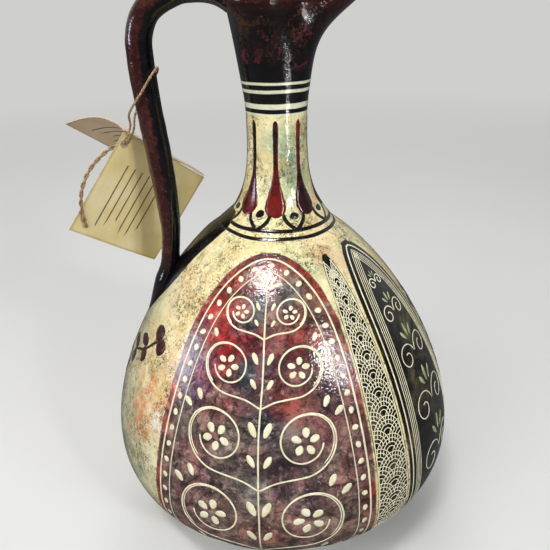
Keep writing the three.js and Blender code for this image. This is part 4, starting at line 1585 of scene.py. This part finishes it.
tree = {
    "edgeLine": 0.95, "line": 0.8, "fine": 0.55, "outer": 3.0, "inner": 8.6,
    "beadInset": 5.8, "beadGap": 7.6, "beadSize": 2.9, "beadNarrow": 0.9,
    # how far up the wall each pair of scrolls lies, how far out, and their radius
    "levels": ((40, 19, 15), (75.5, 21, 16.5), (110.5, 18.5, 14.5), (140, 14.5, 11.3), (162.5, 10, 7.6)),
    "foot": 12, "top": 177, "stemSteps": 8, "stemSway": 0.4, "stemEnds": (0.5, 0.4),
    # the rest of a scroll in shares of its radius: its root on the stem, its turns and the line inside it
    "rootLow": 1.42, "rootOut": 0.4, "rootHigh": 1.16, "start": 190, "turns": 1.2, "tight": 0.52,
    "insideRadius": 0.87, "insideStart": 30, "insideTurns": 0.62, "insideTight": 0.8,
    "flowerReach": 0.27, "flowerSize": 0.29,
    # leaves round a scroll: their leans, their reach and size, and the room they need beside the border
    "leans": (28, 52, 76), "leafReach": 1.2, "leafLong": 0.34, "leafWide": 0.19, "leafRoom": 2.6,
    # leaves on the stem: millimetres out, then up, length and width in shares of the radius, and lean
    "stemLeaves": ((3.1, 0.35, 0.46, 0.21, 24), (3.4, -0.55, 0.4, 0.19, 30)),
    "crown": (173, 4.2, 5, 1.9, (-70, -35, 0, 35, 70)),
}


def paintRedPetal(middle):
    # a tree of paired scrolls with a five-petalled flower in each, leaves between them, a beaded border
    t = tree
    marks = [drawn(middle, petalEdge("red", t["outer"]), t["edgeLine"], shake=0.2),
             drawn(middle, petalEdge("red", t["inner"]), t["fine"], shake=0.25)]
    beads = evenLine([Vector(spot + (0,)) for spot in petalEdge("red", t["beadInset"])], t["beadGap"])[0]
    for bead in beads[:-1]:
        marks.append(touched(middle, bead.x, bead.y, t["beadSize"], t["beadSize"] * t["beadNarrow"],
                             dice.uniform(0, 180)))
    count = t["stemSteps"]
    stem = [(dice.uniform(-t["stemSway"], t["stemSway"]), blend(t["foot"], t["top"], k / count))
            for k in range(count + 1)]
    stemWidths = [t["stemEnds"][0]] + [t["line"]] * (count - 1) + [t["stemEnds"][1]]
    marks.append(drawn(middle, stem, stemWidths, shake=0.2))
    for run, across, radius in t["levels"]:
        for side in (-1, 1):
            eye = (side * across, run)
            start = 90 + side * t["start"]
            shoot = spiral(eye, radius, start, t["turns"], side, tight=t["tight"])
            root = [(0, run - radius * t["rootLow"]),
                    (side * across * t["rootOut"], run - radius * t["rootHigh"])]
            marks.append(drawn(middle, root + shoot, t["line"], shake=0.2))
            inside = spiral(eye, radius * t["insideRadius"], start + side * t["insideStart"],
                            t["insideTurns"], side, tight=t["insideTight"])
            marks.append(drawn(middle, inside, t["fine"], shake=0.2))
            marks.extend(rosette(middle, eye[0], eye[1], radius * t["flowerReach"], radius * t["flowerSize"],
                                 dice.uniform(0, 1)))
            far = radius * t["leafReach"]
            for lean in t["leans"]:
                turn = math.radians(lean)
                out, up = side * (across + far * math.sin(turn)), run + far * math.cos(turn)
                room = panelHalf("red", heightAtRun(up)) - t["inner"] - t["leafRoom"]
                if abs(out) < room and up < t["top"]:
                    marks.append(touched(middle, out, up, radius * t["leafLong"], radius * t["leafWide"],
                                         side * lean))
            for out, up, length, width, lean in t["stemLeaves"]:
                marks.append(touched(middle, side * out, run + radius * up, radius * length, radius * width,
                                     side * lean))
    marks.extend(leafFan(middle, *t["crown"]))
    return marks


comb = {
    "line": 0.42, "insets": (5.2, 6.4, 7.6, 8.8), "bold": 0.85, "boldInset": 2.6,
    # how far up the wall each pair of scrolls lies, and their radius
    "scrolls": ((47, 9.4), (75, 9.4), (102, 8.8), (127, 7.2), (148, 5), (163.5, 3)),
    "scrollLine": 0.65, "out": 1.05, "start": 88, "turns": 1.3, "tight": 0.22,
    # leaves: out and up from the scrolls, length and width in shares of the radius, and lean
    "sideLeaf": (0.52, 1.32, 0.74, 0.27, 34), "middleLeaf": (1.5, 0.9, 0.3),
    "foot": (26, 9, 7.5, 2.6, (-68, -34, 0, 34, 68)),
}


def paintBlackPetal(middle):
    # combed lines inside the edge, and a ladder of double scrolls with leaves between them
    c = comb
    marks = [drawn(middle, petalEdge("black", c["boldInset"]), c["bold"], shake=0.25)]
    for inset in c["insets"]:
        marks.append(drawn(middle, petalEdge("black", inset), c["line"], shake=0.2))
    leaves = []
    for run, radius in c["scrolls"]:
        for side in (-1, 1):
            points = spiral((side * radius * c["out"], run), radius, 90 + side * c["start"], c["turns"],
                            -side, tight=c["tight"])
            marks.append(drawn(middle, points, c["scrollLine"], shake=0.2))
            out, up, length, width, lean = c["sideLeaf"]
            leaves.append(touched(middle, side * radius * out, run + radius * up, radius * length,
                                  radius * width, side * lean))
        up, length, width = c["middleLeaf"]
        leaves.append(touched(middle, 0, run + radius * up, radius * length, radius * width))
    leaves.extend(leafFan(middle, *c["foot"]))
    return marks, leaves


scales = {
    "rows": 21, "low": 14, "high": 186, "line": 0.42, "arcs": (1.0, 0.78, 0.56, 0.34), "arcSteps": 12,
    "arcRise": 0.98, "arcSpacing": 1.0, "inset": 0.9, "narrowest": 1.2,
    "edgeLine": 0.6, "edgeInset": 0.6, "edgeLow": 12.0, "edgeHigh": 149.0, "edgeSteps": 39,
}


def paintScales(middle):
    # a column of overlapping scales, each of four nested arcs, with a line down either side
    s = scales
    marks = []
    pitch = (s["high"] - s["low"]) / s["rows"]
    for row in range(s["rows"] * 2 - 2):
        run = s["low"] + pitch * row / 2
        half = panelHalf("band", heightAtRun(run + pitch * 0.5)) - s["inset"]
        if half < s["narrowest"]:
            continue
        for share in s["arcs"]:
            # one whole scale in every other row, and the two halves beside it in the rest
            for centre in ((0,) if row % 2 == 0 else (-1, 1)):
                arc = []
                for k in range(s["arcSteps"] + 1):
                    turn = math.pi * k / s["arcSteps"]
                    across = centre * half + half * share * math.cos(turn)
                    if abs(across) <= half + 0.02:
                        arc.append((across, run + pitch * s["arcRise"] * share * math.sin(turn)))
                if len(arc) > 3:
                    marks.append(drawn(middle, arc, s["line"], spacing=s["arcSpacing"]))
    for side in (-1, 1):
        edge = []
        for k in range(s["edgeSteps"] + 1):
            height = blend(s["edgeLow"], s["edgeHigh"], k / s["edgeSteps"])
            edge.append((side * (panelHalf("band", height) - s["edgeInset"]), runAtHeight(height)))
        marks.append(drawn(middle, edge, s["edgeLine"], shake=0.2))
    return marks


def paintPanels():
    red, black, sage = [], [], []
    for middle in panels["red"]["middles"]:
        red.extend(paintRedPetal(middle))
    for middle in panels["black"]["middles"]:
        lines, leaves = paintBlackPetal(middle)
        black.extend(lines)
        sage.extend(leaves)
    for middle in panels["band"]["middles"]:
        black.extend(paintScales(middle))
    creamPaint = brushPaint("creamPaint")
    paintOn("vineLines", red, "body", creamPaint)
    paintOn("combedLines", black, "body", creamPaint)
    paintOn("sageLeaves", sage, "body", brushPaint("sagePaint"))


paintNeck()
paintSprigs()
paintPanels()
print("paint laid")


# Studio: a plain pale floor, soft light from all round and a few small lamps for the gloss

studio = {
    "backdrop": "cfcfcc", "floorTones": ("d8d8d4", "dddcd9"), "floorGrain": (6, 3), "floorSize": 160,
    # distance in metres over which the floor fades into the backdrop
    "fade": (0.35, 1.6),
    # light of the air in front and behind, and how far back the change runs
    "floorAir": 0.1, "air": 0.09, "airBehind": 0.42, "airFrom": -0.1, "airTo": 0.5,
    "airTint": (0.95, 0.97, 1.0),
    "lamps": {
        # place that the lamp looks at in millimetres, azimuth, elevation, distance in metres, size, power,
        # tint, angle of its beam, and whether it lights the paint (soft), is mirrored (gloss) or both
        "keySoft": ((0, -30, 140), -112, 62, 1.7, (0.7, 0.7), 5.0, (1, 0.98, 0.95), 180, "soft"),
        "keySpark": ((0, -37, 146), -113, 63, 1.1, (0.2, 0.1), 4.4, (1, 1, 1), 180, "both"),
        "keyGlare": ((0, -37, 146), -126, 61, 1.1, (0.34, 0.1), 4.2, (1, 1, 1), 180, "gloss"),
        "windowLeft": ((-45, -45, 116), -169, 13, 1.5, (0.4, 0.42), 6.0, (0.74, 0.8, 1.0), 180, "both"),
        "softLeft": ((0, 0, 110), -138, 36, 2.0, (0.9, 0.9), 10.5, (1, 0.98, 0.96), 180, "soft"),
        "windowRight": ((18, -57, 121), -51, 30, 1.3, (0.1, 0.15), 3.6, (1, 1, 1), 180, "both"),
        "glareRight": ((18, -57, 121), -53, 27, 1.3, (0.1, 0.1), 3.0, (1, 1, 1), 180, "gloss"),
        "paneRight": ((27, -59, 112), -40, 20, 1.3, (0.1, 0.1), 3.0, (0.75, 0.83, 1.0), 180, "both"),
        "doorRight": ((5, -14, 228), -50, -17, 0.4, (0.006, 0.12), 0.006, (1, 1, 1), 24, "both"),
        "softFront": ((0, 0, 110), -93, 7, 2.0, (0.8, 0.8), 10.0, (1, 0.98, 0.95), 180, "soft"),
        "softRight": ((0, 0, 110), -36, 30, 2.0, (0.8, 0.8), 2.8, (0.95, 0.97, 1.0), 180, "soft"),
        "softBack": ((0, 0, 120), 92, 42, 1.9, (0.9, 0.7), 9.0, (1, 1, 1), 180, "soft"),
    },
}


def seenByCamera(nodes):
    return nodes.new("ShaderNodeLightPath").outputs["Is Camera Ray"]


def makeFloor():
    # pale to the camera, fading into the backdrop, and mid grey to all other rays
    dropSelection()
    bpy.ops.mesh.primitive_plane_add(size=studio["floorSize"])
    floor = bpy.context.object
    floor.name = "paleFloor"
    w = Wiring("paleFloor")
    seen = seenByCamera(w.nodes)
    grey = (studio["floorAir"],) * 3 + (1,)
    w.varnish(0, 0.5)
    w.finish(w.mix(seen, grey, w.mix(w.grain(*studio["floorGrain"]), *studio["floorTones"])), 0.7)
    far = w.nodes.new("ShaderNodeEmission")
    far.inputs["Color"].default_value = paintColour(studio["backdrop"])
    away = w.nodes.new("ShaderNodeVectorMath")
    away.operation = "LENGTH"
    w.links.new(w.place, away.inputs[0])
    fade = w.nodes.new("ShaderNodeMixShader")
    w.put(fade.inputs[0], w.times(seen, w.step(away.outputs["Value"], *studio["fade"])))
    w.links.new(w.shader.outputs[0], fade.inputs[1])
    w.links.new(far.outputs[0], fade.inputs[2])
    w.links.new(fade.outputs[0], w.nodes["Material Output"].inputs["Surface"])
    floor.data.materials.append(w.material)


def addLamp(name, target, azimuth, elevation, distance, size, power, tint, beam, use):
    turn, rise = math.radians(azimuth), math.radians(elevation)
    towards = Vector((math.cos(rise) * math.cos(turn), math.cos(rise) * math.sin(turn), math.sin(rise)))
    bpy.ops.object.light_add(type="AREA", location=Vector(target) * mm + towards * distance)
    lamp = bpy.context.object
    lamp.name = name
    lamp.data.energy = power
    lamp.data.color = tint
    lamp.data.spread = math.radians(beam)
    lamp.data.shape = "RECTANGLE"
    lamp.data.size, lamp.data.size_y = size
    lamp.rotation_euler = towards.to_track_quat("Z", "Y").to_euler()
    lamp.visible_camera = False
    lamp.visible_glossy = use != "soft"
    lamp.visible_diffuse = use != "gloss"


def keepTo(lamp, names):
    # the narrow streak on the neck and mouth isn't wanted on the handle beside them
    pieces = bpy.data.collections.new(lamp.name + "Pieces")
    for name in names:
        pieces.objects.link(bpy.data.objects[name])
    lamp.light_linking.receiver_collection = pieces


def lightScene():
    makeFloor()
    for name, plan in studio["lamps"].items():
        addLamp(name, *plan)
    keepTo(bpy.data.objects["doorRight"], ("potMouth", "potNeck", "neckTongues", "neckLines"))
    world = bpy.data.worlds.new("studioAir")
    bpy.context.scene.world = world
    world.use_nodes = True
    nodes, links = world.node_tree.nodes, world.node_tree.links
    air = nodes["Background"]
    air.inputs["Color"].default_value = studio["airTint"] + (1,)
    # the wall behind is brighter than the room in front, which gives the dark edges their sheen
    around = nodes.new("ShaderNodeTexCoord")
    split = nodes.new("ShaderNodeSeparateXYZ")
    links.new(around.outputs["Generated"], split.inputs[0])
    wall = nodes.new("ShaderNodeMapRange")
    wall.interpolation_type = "SMOOTHSTEP"
    links.new(split.outputs["Y"], wall.inputs["Value"])
    wall.inputs["From Min"].default_value = studio["airFrom"]
    wall.inputs["From Max"].default_value = studio["airTo"]
    wall.inputs["To Min"].default_value = studio["air"]
    wall.inputs["To Max"].default_value = studio["airBehind"]
    links.new(wall.outputs["Result"], air.inputs["Strength"])
    backdrop = nodes.new("ShaderNodeBackground")
    backdrop.inputs["Color"].default_value = paintColour(studio["backdrop"])
    choice = nodes.new("ShaderNodeMixShader")
    links.new(seenByCamera(nodes), choice.inputs[0])
    links.new(air.outputs[0], choice.inputs[1])
    links.new(backdrop.outputs[0], choice.inputs[2])
    links.new(choice.outputs[0], nodes["World Output"].inputs["Surface"])
    bpy.context.scene.view_settings.view_transform = "Standard"


lightScene()
print("lamps set")
